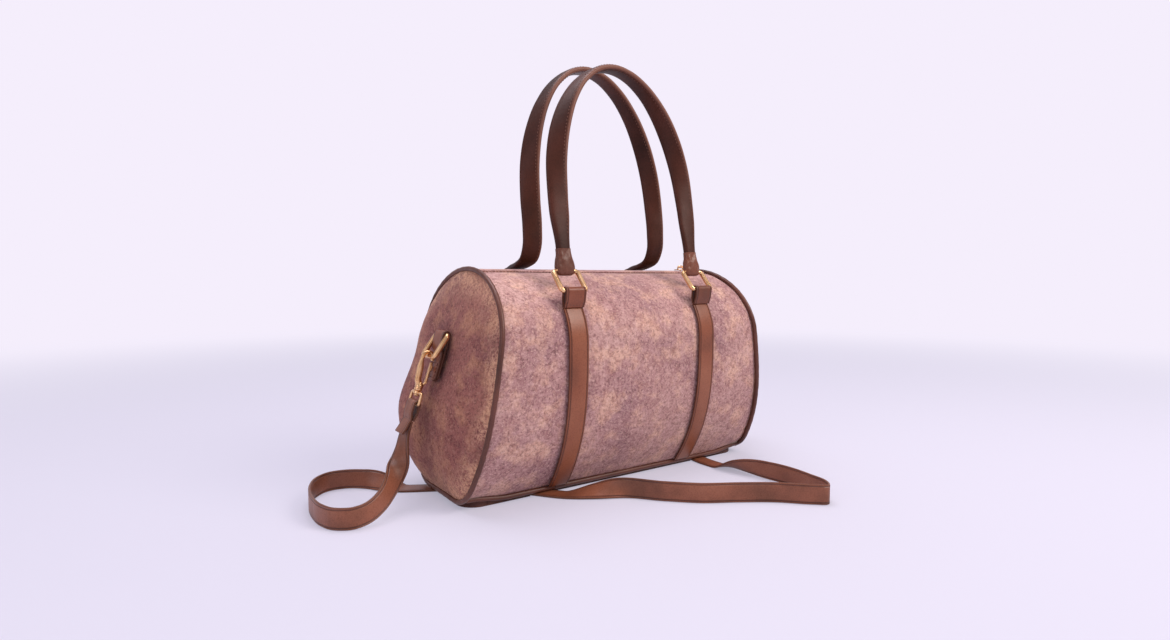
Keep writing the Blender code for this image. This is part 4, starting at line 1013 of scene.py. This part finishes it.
# %% [markdown]
# ## Keepers and their rings
# A keeper is a short strap folded round the lower bar of a ring and sewn to the body strap's top.
# It is bent from a flat belt along the fold's own line. The rings are one piece of wire with round
# corners; the wire is rolled round a rounded rectangle, and is cast broader in its sides.
# %% Folds and wire rings
KEEPER_L, KEEPER_LEAN, RING_CORNER = 0.0140, -0.0018, 0.0034
RING_W = STRAP_W + RING_PLAY + WIRE_D
RING_BAR_R, RING_BROADER = 0.00174, 0.00050
FRONT_RING_ELEV, BACK_RING_ELEV = 49.0, 26.0
KEEPER_Z = STRAP_TOP_Z + GAP + KEEPER_L
KEEPER_FOOT_Y = half_depth(STRAP_TOP_Z) + 2 * GAP + STRAP_T
KEEPER_Y = KEEPER_FOOT_Y - KEEPER_LEAN
CORNER_STEPS, LEG_STEPS = 8, 9
CREASE = 0.0002


def ring_thick(i):
    """Half the ring's wire: round in its bars and broader in its sides."""
    corner, step = divmod(i, CORNER_STEPS + 1)
    return RING_BAR_R + RING_BROADER * abs(cos(radians(90 * corner + 90 * step / CORNER_STEPS)))


def fold_line(bar_radius, thick, length, pinch):
    """Middle line (u, v) of leather folded round a bar at (0, 0), its legs closing at length."""
    wide = bar_radius + GAP + thick / 2
    shut = GAP / 2 + thick / 2
    leg = []
    for i in range(LEG_STEPS):
        u = length * (1 - i / LEG_STEPS)
        leg.append((u, shut + (wide - shut) * ease(length - u, 0.0, length * (1 - pinch))))
    turn = [on_circle(wide, 90 + 15 * i) for i in range(13)]
    return leg + turn + [(u, -v) for u, v in leg[::-1]]


def ring_line(first, second, bar_axis, width, corner):
    """Middle line of a wire ring; first and second are the centres of its bars."""
    along = (second - first).normalized()
    height = (second - first).length
    line = []
    for cx, cy, start in ((1, 1, 0), (-1, 1, 90), (-1, -1, 180), (1, -1, 270)):
        for k in range(CORNER_STEPS + 1):
            a, b = on_circle(corner, start + 90 * k / CORNER_STEPS)
            line.append((first + second) / 2 + bar_axis * (cx * (width / 2 - corner) + a)
                        + along * (cy * (height / 2 - corner) + b))
    return line

# %% Rings and where they hang
def strap_ring(name, first, second, bar_axis, plane, body, node):
    line = ring_line(first, second, bar_axis, RING_W, RING_CORNER)
    ring = tube(name, line, ring_thick, closed=True, sides=20, plane=plane)
    dress(ring, gold, body, [node], 60)


def ring_places(side):
    """Centres of the handle ring's lower and upper bar, at x = 0."""
    inwards, up = on_circle(1, FRONT_RING_ELEV if side < 0 else BACK_RING_ELEV)
    low = Vector((0, side * KEEPER_Y, KEEPER_Z))
    return low, low + Vector((0, -side * inwards, up)) * RING_H


def creases(u, v):
    """Soft wrinkles of folded leather, a fifth of a millimetre deep, and its padded middle."""
    return CREASE * noise.noise(Vector((u * 7.0, v * 5.0, 1.3))) + CREASE * (1 - (2 * v - 1) ** 4)

# %% Keepers and rings
KEEPER_SEAM_UP, SEAM_SHORT, THREAD_LIFT = 0.0022, 0.001, 0.0004
for word, side in SIDES:
    low, top = ring_places(side)
    down = (Vector((0, side * KEEPER_FOOT_Y, STRAP_TOP_Z + GAP)) - low).normalized()
    away = down.cross(X_AXIS)
    fold = fold_line(WIRE_D / 2, STRAP_T, KEEPER_L, 0.45)
    for tag, x in PLACES:
        node, shift = f"keeper_{word}_{tag}", X_AXIS * x
        line = [low + shift + down * u + away * v for u, v in fold]
        keeper = belt(node, line, X_AXIS, KEEPER_W, STRAP_T, 8, creases)
        dress(keeper, keeper_leather, "bag", [node])
        row = [low + shift + X_AXIS * k * (STRAP_W / 2 - SEAM_SHORT) + down * (KEEPER_L - KEEPER_SEAM_UP)
               - away * side * (STRAP_T + THREAD_LIFT) for k in (-1, 1)]
        sew(f"keeper_stitches_{word}_{tag}", seam(row, [-away * side] * 2, SHORT_PITCH), "bag", [node])
        node = f"handle_ring_{word}_{tag}"
        strap_ring(node, low + shift, top + shift, X_AXIS, away, "rings_" + word, node)
print("ring width outside:", round(RING_W + WIRE_D, 4))

# %% [markdown]
# ## Handles
# Each handle is a strip of leather folded over a soft core and sewn along its inner edge. It is
# flat to the front at its rings and flat to the top at its arch, so it turns by a quarter on the
# way up one leg and back again on the way down. It is narrower at the necks, where the end wraps
# begin. The back handle's legs lean in over the bag before they rise.
# %% Handle routes
CHAPE_L, HANDLE_W, HANDLE_T = 0.0190, 0.0185, 0.0056
NECK_W, NECK_T, NECK_LENGTH = 0.0130, 0.0066, 0.016
HANDLE_SPRING_Z = BODY_HEIGHT + 0.065
APEX = {-1: Vector((0, -0.0275, BODY_HEIGHT + 0.1865)), 1: Vector((0, 0.0165, BODY_HEIGHT + 0.1960))}
BACK_RISE, BACK_SPRING_Y, ARCH_STEP = 24.0, -0.0015, 15
BACK_BEND = ((0.0085, 0.0030), (0.0230, 0.0060), (0.0340, 0.0105), (0.0405, 0.0220), (0.0410, 0.0400))


def leg_points(side):
    """One leg, from its wrap's end up to where the arch springs, and the wrap's direction."""
    _, top = ring_places(side)
    if side < 0:
        rise = (APEX[side] - top).normalized()
        start = top + rise * (CHAPE_L + GAP)
        climb = (HANDLE_SPRING_Z - start.z) / (APEX[side].z - start.z)
        return [start, start.lerp(APEX[side], climb)], rise
    inwards, up = on_circle(1, BACK_RISE)
    rise = Vector((0, -inwards, up))
    start = top + rise * (CHAPE_L + GAP)
    leg = [start] + [start + Vector((0, -y, z)) for y, z in BACK_BEND]
    return leg + [Vector((0, BACK_SPRING_Y, HANDLE_SPRING_Z))], rise


def handle_route(side, step):
    leg, _ = leg_points(side)
    spring, apex = leg[-1], APEX[side]
    arch = []
    for degrees in range(ARCH_STEP, 180, ARCH_STEP):
        rise = sin(radians(degrees))
        arch.append(Vector((-STRAP_X * cos(radians(degrees)),
                            spring.y + (apex.y - spring.y) * rise, spring.z + (apex.z - spring.z) * rise)))
    return smooth_route([Vector((-STRAP_X, p.y, p.z)) for p in leg] + arch
                        + [Vector((STRAP_X, p.y, p.z)) for p in leg[::-1]], step)


def handle_across(share):
    turn = radians(90) * sin(pi * share) ** 2
    return Vector((-cos(turn), sin(turn), 0))

# %% Handles
HANDLE_STEP, HANDLE_GROOVE, BARE_STEPS = 0.004, 0.0032, 3
UNEVEN = 0.03                # how much the stuffing's thickness wavers, as a share
for word, side in SIDES:
    route = handle_route(side, HANDLE_STEP)
    last = len(route) - 1
    body, node = f"handle_{word}_body", "handle_" + word

    def swelling(i, neck, main):
        return (neck + (main - neck) * ease(min(i, last - i) * HANDLE_STEP, 0.0, 2 * NECK_LENGTH)) / 2

    def stuffed(i):
        return swelling(i, NECK_T, HANDLE_T) * (1 + UNEVEN * noise.noise(Vector((i * 0.4, side, 0))))

    grip = tube(node, route, lambda i: swelling(i, NECK_W, HANDLE_W), stuffed, sides=28,
                plane=lambda i: handle_across(i / last), square=3.0)
    dress(grip, handle_leather, body, [node], 60)
    ways = directions(route)
    across = [square_to(handle_across(i / last), ways[i]) for i in range(last + 1)]
    faces = [ways[i].cross(across[i]) for i in range(last + 1)]
    sewn = range(BARE_STEPS, last - BARE_STEPS + 1)
    for name, turn in (("outer", 1), ("inner", -1)):
        line = [route[i] - across[i] * (swelling(i, NECK_W, HANDLE_W) - HANDLE_GROOVE)
                + faces[i] * turn * (swelling(i, NECK_T, HANDLE_T) - THREAD_RISE) for i in sewn]
        sew(f"handle_stitches_{word}_{name}", seam(line, [faces[i] * turn for i in sewn]), body, [node])
print("handle length:", round(length_of(route), 4))

# %% [markdown]
# The ends of a handle are wrapped round the rings and gathered in towards the neck. A wrap is a
# soft pouch: a tube whose width and thickness swell and close again, with creases pressed in that
# cross its face, and a rim that stands a little off the handle's neck.
# %% End wraps
# Each spot of the shape is (distance from the ring's bar, half width, half thickness).
WRAP_SHAPE = ((-0.0040, 0.0034, 0.0010), (-0.0035, 0.0070, 0.0026), (-0.0020, 0.0090, 0.0036),
              (0.0015, 0.0097, 0.0042), (0.0050, 0.0094, 0.0046), (0.0090, 0.0085, 0.0047),
              (0.0125, 0.0075, 0.0045), (0.0160, 0.0070, 0.0042), (0.0190, 0.0071, 0.0041))
# Each crease runs from one place to another on the face: (x, height) and (x, height).
WRAP_CREASES = ((-0.0085, 0.0010, 0.0030, 0.0185), (0.0090, 0.0000, -0.0020, 0.0150),
                (-0.0040, -0.0020, -0.0060, 0.0120))
WRAP_STEP, WRAP_CREASE, WRAP_CREASE_W = 0.0007, 0.0007, 0.0011
PUFF, PUFF_WAVES, FACE_FROM = 0.0004, 260.0, 0.0025


def crease_depth(x, u):
    """How deep the creases press in at a place on the wrap's face, as a share."""
    total = 0.0
    for x0, u0, x1, u1 in WRAP_CREASES:
        run, here = Vector((x1 - x0, u1 - u0)), Vector((x - x0, u - u0))
        share = min(1.0, max(0.0, here.dot(run) / run.length_squared))
        total += exp(-((here - run * share).length / WRAP_CREASE_W) ** 2)
    return total


for word, side in SIDES:
    _, top = ring_places(side)
    _, rise = leg_points(side)
    away = rise.cross(X_AXIS)
    shape = smooth_route([Vector(spot) for spot in WRAP_SHAPE], WRAP_STEP)
    for tag, x in PLACES:
        heart = top + X_AXIS * x
        wrap = tube(f"wrap_{word}_{tag}", [heart + rise * spot.x for spot in shape],
                    lambda i: shape[i].y, lambda i: shape[i].z, sides=36, plane=X_AXIS, square=2.6)
        for point in wrap.data.vertices:
            offset = point.co - heart
            out = away * offset.dot(away)
            face = min(1.0, out.length / FACE_FROM)
            puff = PUFF * noise.noise(offset * PUFF_WAVES + Vector((x, side, 0)))
            dip = WRAP_CREASE * crease_depth(offset.x, offset.dot(rise))
            point.co += out.normalized() * face * (puff - dip)
        dress(wrap, leather, f"handle_{word}_body", [f"chape_{word}_{tag}"], 60)
print("wraps:", len(PLACES) * len(SIDES))

# %% [markdown]
# ## Tabs and rings at the ends
# A tab is a short strap folded round the upper bar of a ring. Its back leg lies on the end panel and
# its front leg is sewn down over it. Both ends are cut with round corners.
# %% End tabs
TAB_FOLD, TAB_FLAT, TAB_CORNER = 0.20, 0.50, 0.004
TAB_STEPS, TAB_BACK_STEPS = 21, 12
BOX_TOP, BOX_FOOT, BOX_HALF = TAB_L * 0.62, TAB_L - 0.003, 0.0072      # the box that is sewn on it


def tab_line():
    """Middle line (u, v) of the tab's leather; v points to the panel."""
    wide = WIRE_D / 2 + GAP + STRAP_T / 2
    front = WIRE_D / 2 - STRAP_T / 2
    leg = []
    for i in range(TAB_STEPS):
        u = TAB_L * (1 - i / TAB_STEPS)
        share = ease(TAB_L * TAB_FLAT - u, 0.0, TAB_L * (TAB_FLAT - TAB_FOLD * 0.5))
        leg.append((u, front - (wide + front) * share))
    turn = [(-b, -a) for a, b in (on_circle(wide, 15 * i) for i in range(13))]
    return leg + turn + [(TAB_L * k / TAB_BACK_STEPS, wide) for k in range(1, TAB_BACK_STEPS + 1)]


def round_corners(u):
    """How much narrower a strap is at u, near an end with round corners at TAB_L."""
    left = max(0.0, TAB_L - u)
    if left >= TAB_CORNER:
        return 0.0
    return 2 * (TAB_CORNER - sqrt(TAB_CORNER ** 2 - (TAB_CORNER - left) ** 2))


fold = tab_line()
for word, side in ENDS:
    bar, hang, node = tab_bar(side), slanted(side, RING_HANG), "side_tab_" + word
    down = slanted(side, TAB_SLOPE)
    inwards = Y_AXIS.cross(down) * side
    line = [bar + down * u + inwards * v for u, v in fold]
    tab = belt(node, line, Y_AXIS, lambda i: STRAP_W - round_corners(fold[i][0]), STRAP_T, 10,
               lambda u, v: side * creases(u, v))
    dress(tab, keeper_leather, "bag", [node])
    top = WIRE_D / 2 - STRAP_T - GAP
    box = ((BOX_TOP, -1), (BOX_FOOT, -1), (BOX_FOOT, 1), (BOX_TOP, 1), (BOX_TOP, -1))
    spots = [bar + down * u + inwards * top + Y_AXIS * y * BOX_HALF for u, y in box]
    sew("tab_stitches_" + word, seam(spots, [-inwards] * 5, SHORT_PITCH), "bag", [node])
    node = "side_ring_" + word
    strap_ring(node, bar, bar + hang * RING_H, Y_AXIS, hang.cross(Y_AXIS), "ring_" + word, node)
print("tab leather:", round(length_of(line), 4))

# %% [markdown]
# ## Snap hooks
# A hook is cast in one piece: a round bow that grips the ring, a broad flat spine and a turned
# collar. A rod whose width changes along its way gives the bow and the spine. The collar, with its
# groove, its stem and the riveted end, is a rod whose radius changes. The gate is a thin lever on a
# pin, with a ridged thumb piece, and the eye turns on the stem.
# %% Sizes of the hook
HOOK_HALF_W, HOOK_WIRE_R, COLLAR_R, GROOVE_R = 0.0044, 0.0016, 0.0035, 0.0031
STEM_R, RIVET_R, RIVET_L, STEP_L = 0.0013, 0.0022, 0.0014, 0.00005
GATE_FOOT, GATE_L, GATE_R, EYE_WIRE_R, EYE_CORNER = HOOK_DROP + 0.0205, 0.0170, 0.0012, 0.0013, 0.0022
HOOK_STEP, SPINE_FROM, SPINE_TO, SPINE_DEEPER, SPINE_WIDER = 0.0008, 0.0040, 0.0100, 0.0010, 0.0003
# The spine: (distance down the hook, share of the bow's half width).
SPINE = ((0.0050, 1.0), (0.0085, 0.93), (0.0120, 0.84), (0.0170, 0.72), (GATE_FOOT, 0.58), (0.0236, 0.28))
# Turned parts: (distance along the axis, radius).
COLLAR = ((-0.0024, 0.0022), (-0.0008, GROOVE_R), (0.0, COLLAR_R), (0.0013, COLLAR_R),
          (0.0016, GROOVE_R), (0.0024, GROOVE_R), (0.0027, COLLAR_R), (COLLAR_L - 0.0004, COLLAR_R),
          (COLLAR_L, GROOVE_R), (COLLAR_L + STEP_L, STEM_R))
RIVET = ((0.0, STEM_R), (STEP_L, RIVET_R), (0.0008, RIVET_R), (RIVET_L, RIVET_R * 0.55))
PIN = ((-0.0021, 0.0005), (-0.0018, 0.0008), (0.0018, 0.0008), (0.0021, 0.0005))
LEVER = ((GATE_FOOT - GATE_L, 0.0007), (GATE_FOOT - GATE_L + 0.0006, GATE_R), (GATE_FOOT, GATE_R),
         (GATE_FOOT + 0.0008, 0.0009))
RIDGES = [(0.0070 + 0.0042 * k / 14, 0.00125 + 0.00022 * (k % 2)) for k in range(15)]
BOSS = ((-EYE_BOSS_H / 2, 0.0026), (-EYE_BOSS_H / 2 + 0.0004, 0.0032),
        (EYE_BOSS_H / 2 - 0.0004, 0.0032), (EYE_BOSS_H / 2, 0.0026))

# %% Hooks
def lathe(name, origin, axis, profile, flat=1.0, **settings):
    """A turned part; flat below 1 makes it that much thinner."""
    return tube(name, [origin + axis * a for a, r in profile], lambda i: profile[i][1],
                lambda i: profile[i][1] * flat, **settings)


def make_hook(word, side):
    origin, u, n = hook_frame(side)
    w = HOOK_HALF_W
    bow = [(HOOK_DROP - b, a) for a, b in (on_circle(w, degrees) for degrees in range(180, -1, -20))]
    spots = [(HOOK_DROP + 0.0020, -w)] + bow + [(a, w * b) for a, b in SPINE] + [(HOOK_END + 0.0004, 0.0)]
    route = smooth_route([origin + u * a + n * b for a, b in spots], HOOK_STEP)

    def spine(i):
        place = route[i] - origin
        return ease(place.dot(u), SPINE_FROM, SPINE_TO) if place.dot(n) > 0 else 0.0

    body = tube("hook_body", route, lambda i: HOOK_WIRE_R + SPINE_WIDER * spine(i),
                lambda i: HOOK_WIRE_R + SPINE_DEEPER * spine(i), sides=24, square=3.0)
    grip = HOOK_END + COLLAR_L + EYE_BOSS_H + 2 * GAP
    profile = [(HOOK_END + a, r) for a, r in COLLAR] + [(grip + a, r) for a, r in RIVET]
    collar = lathe("collar", origin, u, profile, sides=24)
    heel_line = [origin + u * (GATE_FOOT + 0.0010 + 0.0010 * k) - n * w * (1 - 0.22 * k) for k in range(5)]
    heel = tube("heel", heel_line, 0.0015, 0.0010, sides=14, square=3.0)
    pin = lathe("pin", origin + u * (GATE_FOOT + 0.0004) - n * w, Y_AXIS, PIN, sides=12, plane=n)
    return joined("snap_hook_" + word, [body, collar, heel, pin])

# %% Gates and eyes
def make_gate(word, side):
    origin, u, n = hook_frame(side)
    lever = lathe("lever", origin - n * HOOK_HALF_W, u, LEVER, sides=16, square=3.0)
    thumb = lathe("thumb", origin - n * (HOOK_HALF_W + 0.0010), u, RIDGES, 0.95, sides=14)
    return joined("hook_gate_" + word, [lever, thumb])


def make_eye(word, side):
    origin, u, n = hook_frame(side)
    first = origin + u * EYE_TOP
    width = SHOULDER_W + RING_PLAY + 2 * EYE_WIRE_R
    frame_wire = tube("wire", ring_line(first, first + u * EYE_H, Y_AXIS, width, EYE_CORNER), EYE_WIRE_R,
                      closed=True, sides=16, plane=n)
    return joined("swivel_eye_" + word, [frame_wire, lathe("boss", first, u, BOSS, sides=24)])


for word, side in ENDS:
    for make, body, node in ((make_hook, "hook_", "snap_hook_"), (make_gate, "gate_", "hook_gate_"),
                             (make_eye, "eye_", "swivel_eye_")):
        dress(make(word, side), gold, body + word, [node + word], 50)
print("hook length:", round(HOOK_END + COLLAR_L + HOOK_DROP + HOOK_HALF_W, 4))

# %% [markdown]
# ## Ends of the shoulder strap
# The strap's end is folded round the eye's lower bar and sewn back on itself. The cut tail is
# longer than the seam, and springs a little away from the strap.
# %% Strap ends
TAIL_L, TAIL_STEPS, TAIL_OFF, TAIL_SPRING = 0.0120, 6, 0.0007, 0.0032
LOOP_SEAM_UP, SEAM_HALF = 0.0020, 0.0075
fold = fold_line(EYE_WIRE_R, SHOULDER_T, LOOP_L, 0.5)
face = fold[0][1]
tail = []
for k in range(TAIL_STEPS):
    share = 1 - k / TAIL_STEPS
    tail.append((LOOP_L + TAIL_L * share, face + TAIL_OFF + TAIL_SPRING * share ** 1.5))
for word, side in ENDS:
    _, u, n = hook_frame(side)
    body, node = "eye_" + word, "strap_loop_" + word
    line = [eye_bar(side) + u * a + n * b for a, b in tail + fold]
    loop = belt(node, line, Y_AXIS, SHOULDER_W, SHOULDER_T, 8, creases)
    dress(loop, shoulder_leather, body, [node])
    middle = eye_bar(side) + u * (LOOP_L - LOOP_SEAM_UP) + n * (face + SHOULDER_T / 2 + THREAD_LIFT)
    spots = [middle + Y_AXIS * y for y in (-SEAM_HALF, SEAM_HALF)]
    sew("loop_stitches_" + word, seam(spots, [n] * 2, SHORT_PITCH), body, [node])
print("strap end leather:", round(length_of(line), 4))

# %% [markdown]
# ## Zip
# The teeth are set one by one on the edge of a woven tape, each shifted by half a step against the
# other row, so that they close into each other. Beyond the flaps both rows are fixed, shorter and
# parted in the middle, so that the parked slider's post has room. A stop holds the slider.
# %% One tooth
FLAP_T, TEETH_H, TEETH_W, TEETH_IN, TAPE_W, TAPE_T = 0.0020, 0.0022, 0.0022, 0.0007, 0.0070, 0.0006
TEETH_OUT = TEETH_IN + TEETH_W
FLAP_HALF = end_x(BODY_HEIGHT) - 0.03965
ZIP_TAIL, STOP_L, TOOTH_STEP = 0.0245, 0.0030, 0.0022
TEETH_Z = dome_z(TEETH_W) - TEETH_H / 2 + 0.00015
TAPE_Z = dome_z(TEETH_OUT) - FLAP_T - GAP
TOOTH_L, TOOTH_REACH, TAIL_REACH, TOOTH_H, TOOTH_TAPER = 0.0013, 0.0029, 0.0021, 0.0019, 0.72
TOOTH_EDGE = 0.0003
TAPE_DROP, TAPE_SLOPE, TAPE_STEPS = 0.0002, 0.06, 40
# The stop: (share of its length, share of its width, share of its height).
STOP_BAR = ((0.0, 0.86, 0.8), (0.15, 1.0, 1.0), (0.85, 1.0, 1.0), (1.0, 0.86, 0.8))


def make_block(length, depth, height):
    piece = fresh(bpy.ops.mesh.primitive_cube_add, size=1.0)
    piece.scale = (length, depth, height)
    bpy.ops.object.transform_apply(scale=True)
    return piece


first_tooth = make_block(TOOTH_L, TOOTH_REACH, TOOTH_H)
for point in first_tooth.data.vertices:
    if point.co.y < 0:
        point.co.z *= TOOTH_TAPER
modify(first_tooth, "BEVEL", width=TOOTH_EDGE, segments=1)
TOOTH = only_mesh(first_tooth)
TAIL_TOOTH = TOOTH.copy()
for point in TAIL_TOOTH.vertices:
    point.co.y *= TAIL_REACH / TOOTH_REACH

# %% Rows, tapes and stops
def tooth_row(name, side, x0, x1, body, node, tooth=TOOTH, reach=TOOTH_REACH):
    """Teeth from x0 to x1, on one side of the middle line."""
    count = int((x1 - x0) / TOOTH_STEP)
    first = (x0 + x1 - (count - 1) * TOOTH_STEP) / 2 + side * TOOTH_STEP / 4
    y = side * (TEETH_OUT - reach / 2)
    places = [(Vector((first + k * TOOTH_STEP, y, TEETH_Z)), X_AXIS * side, Z_AXIS) for k in range(count)]
    dress(strew(name, tooth, places), zip_metal, body, [node], 50)


for word, side in SIDES:
    body, node = "flap_" + word, "zip_teeth_" + word
    tooth_row("zip_teeth_row_" + word, side, -FLAP_HALF, FLAP_HALF, body, node)
    y, z = side * (TEETH_OUT + (TAPE_W - TEETH_W) / 2), TAPE_Z - TAPE_T / 2 - TAPE_DROP
    line = [Vector((-FLAP_HALF + 2 * FLAP_HALF * k / TAPE_STEPS, y, z)) for k in range(TAPE_STEPS + 1)]
    tape = belt("zip_tape_" + word, line, Vector((0, 1, -side * TAPE_SLOPE)), TAPE_W + TEETH_W, TAPE_T, 4)
    dress(tape, zip_tape, body, [node])
near, far = FLAP_HALF + GAP, FLAP_HALF + GAP + ZIP_TAIL
for word, end in ENDS:
    node = "zip_stop_" + word
    x0, x1 = sorted((end * near, end * far))
    for tag, side in SIDES:
        tooth_row(f"zip_tail_{word}_{tag}", side, x0, x1, "bag", node, TAIL_TOOTH, TAIL_REACH)
    line = [Vector((end * (far + STOP_L * a), 0, TEETH_Z)) for a, w, h in STOP_BAR]
    stop = tube("zip_stop_bar_" + word, line, lambda i: TEETH_OUT * STOP_BAR[i][1],
                lambda i: TEETH_H / 2 * STOP_BAR[i][2], sides=20, square=4.0)
    dress(stop, zip_metal, "bag", [node])
print("teeth in one row:", int(2 * FLAP_HALF / TOOTH_STEP))

# %% [markdown]
# The slider is two plates joined by a post, with an arch on top. The pull hangs in the arch: a wire
# loop that is pressed flat into a tongue.
# %% Slider and pull
SLIDER_L, SLIDER_W, SLIDER_PLATE, BRIDGE_H, BRIDGE_L = 0.013, 0.0092, 0.0010, 0.0030, 0.0085
PULL_L, PULL_W, PULL_T, PULL_LOOP_L, PULL_WIRE_R, PULL_CORNER = 0.026, 0.0068, 0.0014, 0.0112, 0.00065, 0.0018
SLIDER_X = FLAP_HALF + GAP + ZIP_TAIL - GAP - SLIDER_L / 2
SLIDER_TOP = TEETH_Z + TEETH_H / 2 + GAP + SLIDER_PLATE
PULL_AXIS_Z = SLIDER_TOP + BRIDGE_H - PULL_T / 2 - GAP
# Half an outline each: (share of the length, share of the width) and (distance, share of the width).
PLATE = ((-0.5, 0.62), (-0.46, 0.74), (-0.1, 0.82), (0.2, 0.98), (0.4, 1.0), (0.47, 0.9), (0.5, 0.7))
TONGUE = ((0.0102, 0.30), (0.0108, 0.80), (0.0125, 0.96), (0.0170, 1.0), (0.0220, 0.98), (0.0242, 0.86),
          (0.0254, 0.62), (PULL_L, 0.25))
# Half the arch, from its foot to its crown: (distance in from the foot, height over the plate).
HALF_ARCH = ((0.0, -0.0003), (0.0, 0.0015), (0.0005, 0.0028), (0.0016, 0.0036))


def plate(name, z):
    """Slider plate: broad at the front, where the rows part, and narrow at the back."""
    return tube(name, [Vector((SLIDER_X + SLIDER_L * a, 0, z)) for a, w in PLATE],
                lambda i: SLIDER_W / 2 * PLATE[i][1], SLIDER_PLATE / 2, sides=24, square=5.0)


upper = plate("upper", SLIDER_TOP - SLIDER_PLATE / 2)
under = plate("under", TAPE_Z - TAPE_T - GAP - SLIDER_PLATE / 2)
post_line = [Vector((SLIDER_X, 0, z)) for z in (TAPE_Z - TAPE_T - 0.0008, SLIDER_TOP - 0.0005)]
post = tube("post", post_line, 0.0012, 0.0004, sides=12, plane=X_AXIS)
half = BRIDGE_L / 2 - 0.0006
arch = [(a - half, b) for a, b in HALF_ARCH] + [(0.0, 0.0037)] + [(half - a, b) for a, b in HALF_ARCH[::-1]]
bridge_line = smooth_route([Vector((SLIDER_X + a, 0, SLIDER_TOP + b)) for a, b in arch], 0.0006)
bridge = tube("bridge", bridge_line, 0.0009, 0.0006, sides=14, square=3.0)
slider = joined("zip_slider_body", [upper, under, post, bridge])
dress(slider, gold, "slider", ["zip_slider"], 50)
first = Vector((SLIDER_X, 0, PULL_AXIS_Z))
loop_line = ring_line(first, first + X_AXIS * PULL_LOOP_L, Y_AXIS, PULL_W - 0.0012, PULL_CORNER)
loop = tube("loop", loop_line, PULL_WIRE_R, closed=True, sides=12, plane=Z_AXIS)
blade = tube("blade", [first + X_AXIS * a for a, w in TONGUE], lambda i: PULL_W / 2 * TONGUE[i][1],
             lambda i: PULL_T / 2 * (0.5 if i in (0, 7) else 1.0), sides=24, square=4.0)
dress(joined("zip_pull_tag", [loop, blade]), gold, "pull", ["zip_pull"], 50)
print("slider top:", round(SLIDER_TOP, 5))

# %% [markdown]
# ## Solids that are already right
# The flaps, the strips beside them, the board in the base and the lining are plain cut sheets in
# the solid model too, so they keep their shape and get their finish. The seams beside the zip are
# sewn with a row of stitches on the suede.
# %% Finishes on solids
TOP_SEAM_IN, TOP_SEAM_SHORT, TOP_SEAM_DROP, TOP_SEAM_STEPS = 0.0026, 0.002, 0.0006, 60
SOLIDS = ((("zip_flap_front", "zip_flap_back", "zip_end_left", "zip_end_right"), suede),
          (("lining",), lining_cloth), (("base_board",), board_finish))
for nodes, material in SOLIDS:
    for node in nodes:
        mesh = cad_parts[node].data
        mesh.materials.clear()
        mesh.materials.append(material)
y = SEAM_Y + TOP_SEAM_IN
z = dome_z(y)
reach = end_x(z) - EDGE - TOP_SEAM_SHORT
for word, side in SIDES:
    out = Vector((0, side * y / HALF_DEPTH ** 2, (z - WIDEST_Z) / (BODY_HEIGHT - WIDEST_Z) ** 2)).normalized()
    row = [Vector((-reach + 2 * reach * k / TOP_SEAM_STEPS, side * y, z - TOP_SEAM_DROP))
           for k in range(TOP_SEAM_STEPS + 1)]
    sew("top_seam_" + word, seam(row, [out] * len(row)), "bag", [word + "_panel"])

# %% [markdown]
# The base keeps its channels, but a copy of it is cut to round corners: a tall block with rounded
# upright edges is intersected with it. Its suede is darkened as painted shade, for the shadow
# under the bag.
# %% Base with round corners
BASE_CORNER, BLOCK_EXTRA, BLOCK_HEIGHT = 0.017, 0.0002, 0.2
foot = in_scene("base_suede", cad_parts["base_panel"].data.copy())
merge_points(foot)
length = 2 * max(point.co.x for point in foot.data.vertices)
depth = 2 * max(point.co.y for point in foot.data.vertices)
block = make_block(length + BLOCK_EXTRA, depth + BLOCK_EXTRA, BLOCK_HEIGHT)
modify(block, "BEVEL", width=BASE_CORNER, segments=8)
modify(foot, "BOOLEAN", operation="INTERSECT", object=block, solver="EXACT")
bpy.data.objects.remove(block, do_unlink=True)
dress(foot, painted_shade_base_suede, "bag", ["base_panel"])
print("base corners cut, faces:", len(foot.data.polygons))
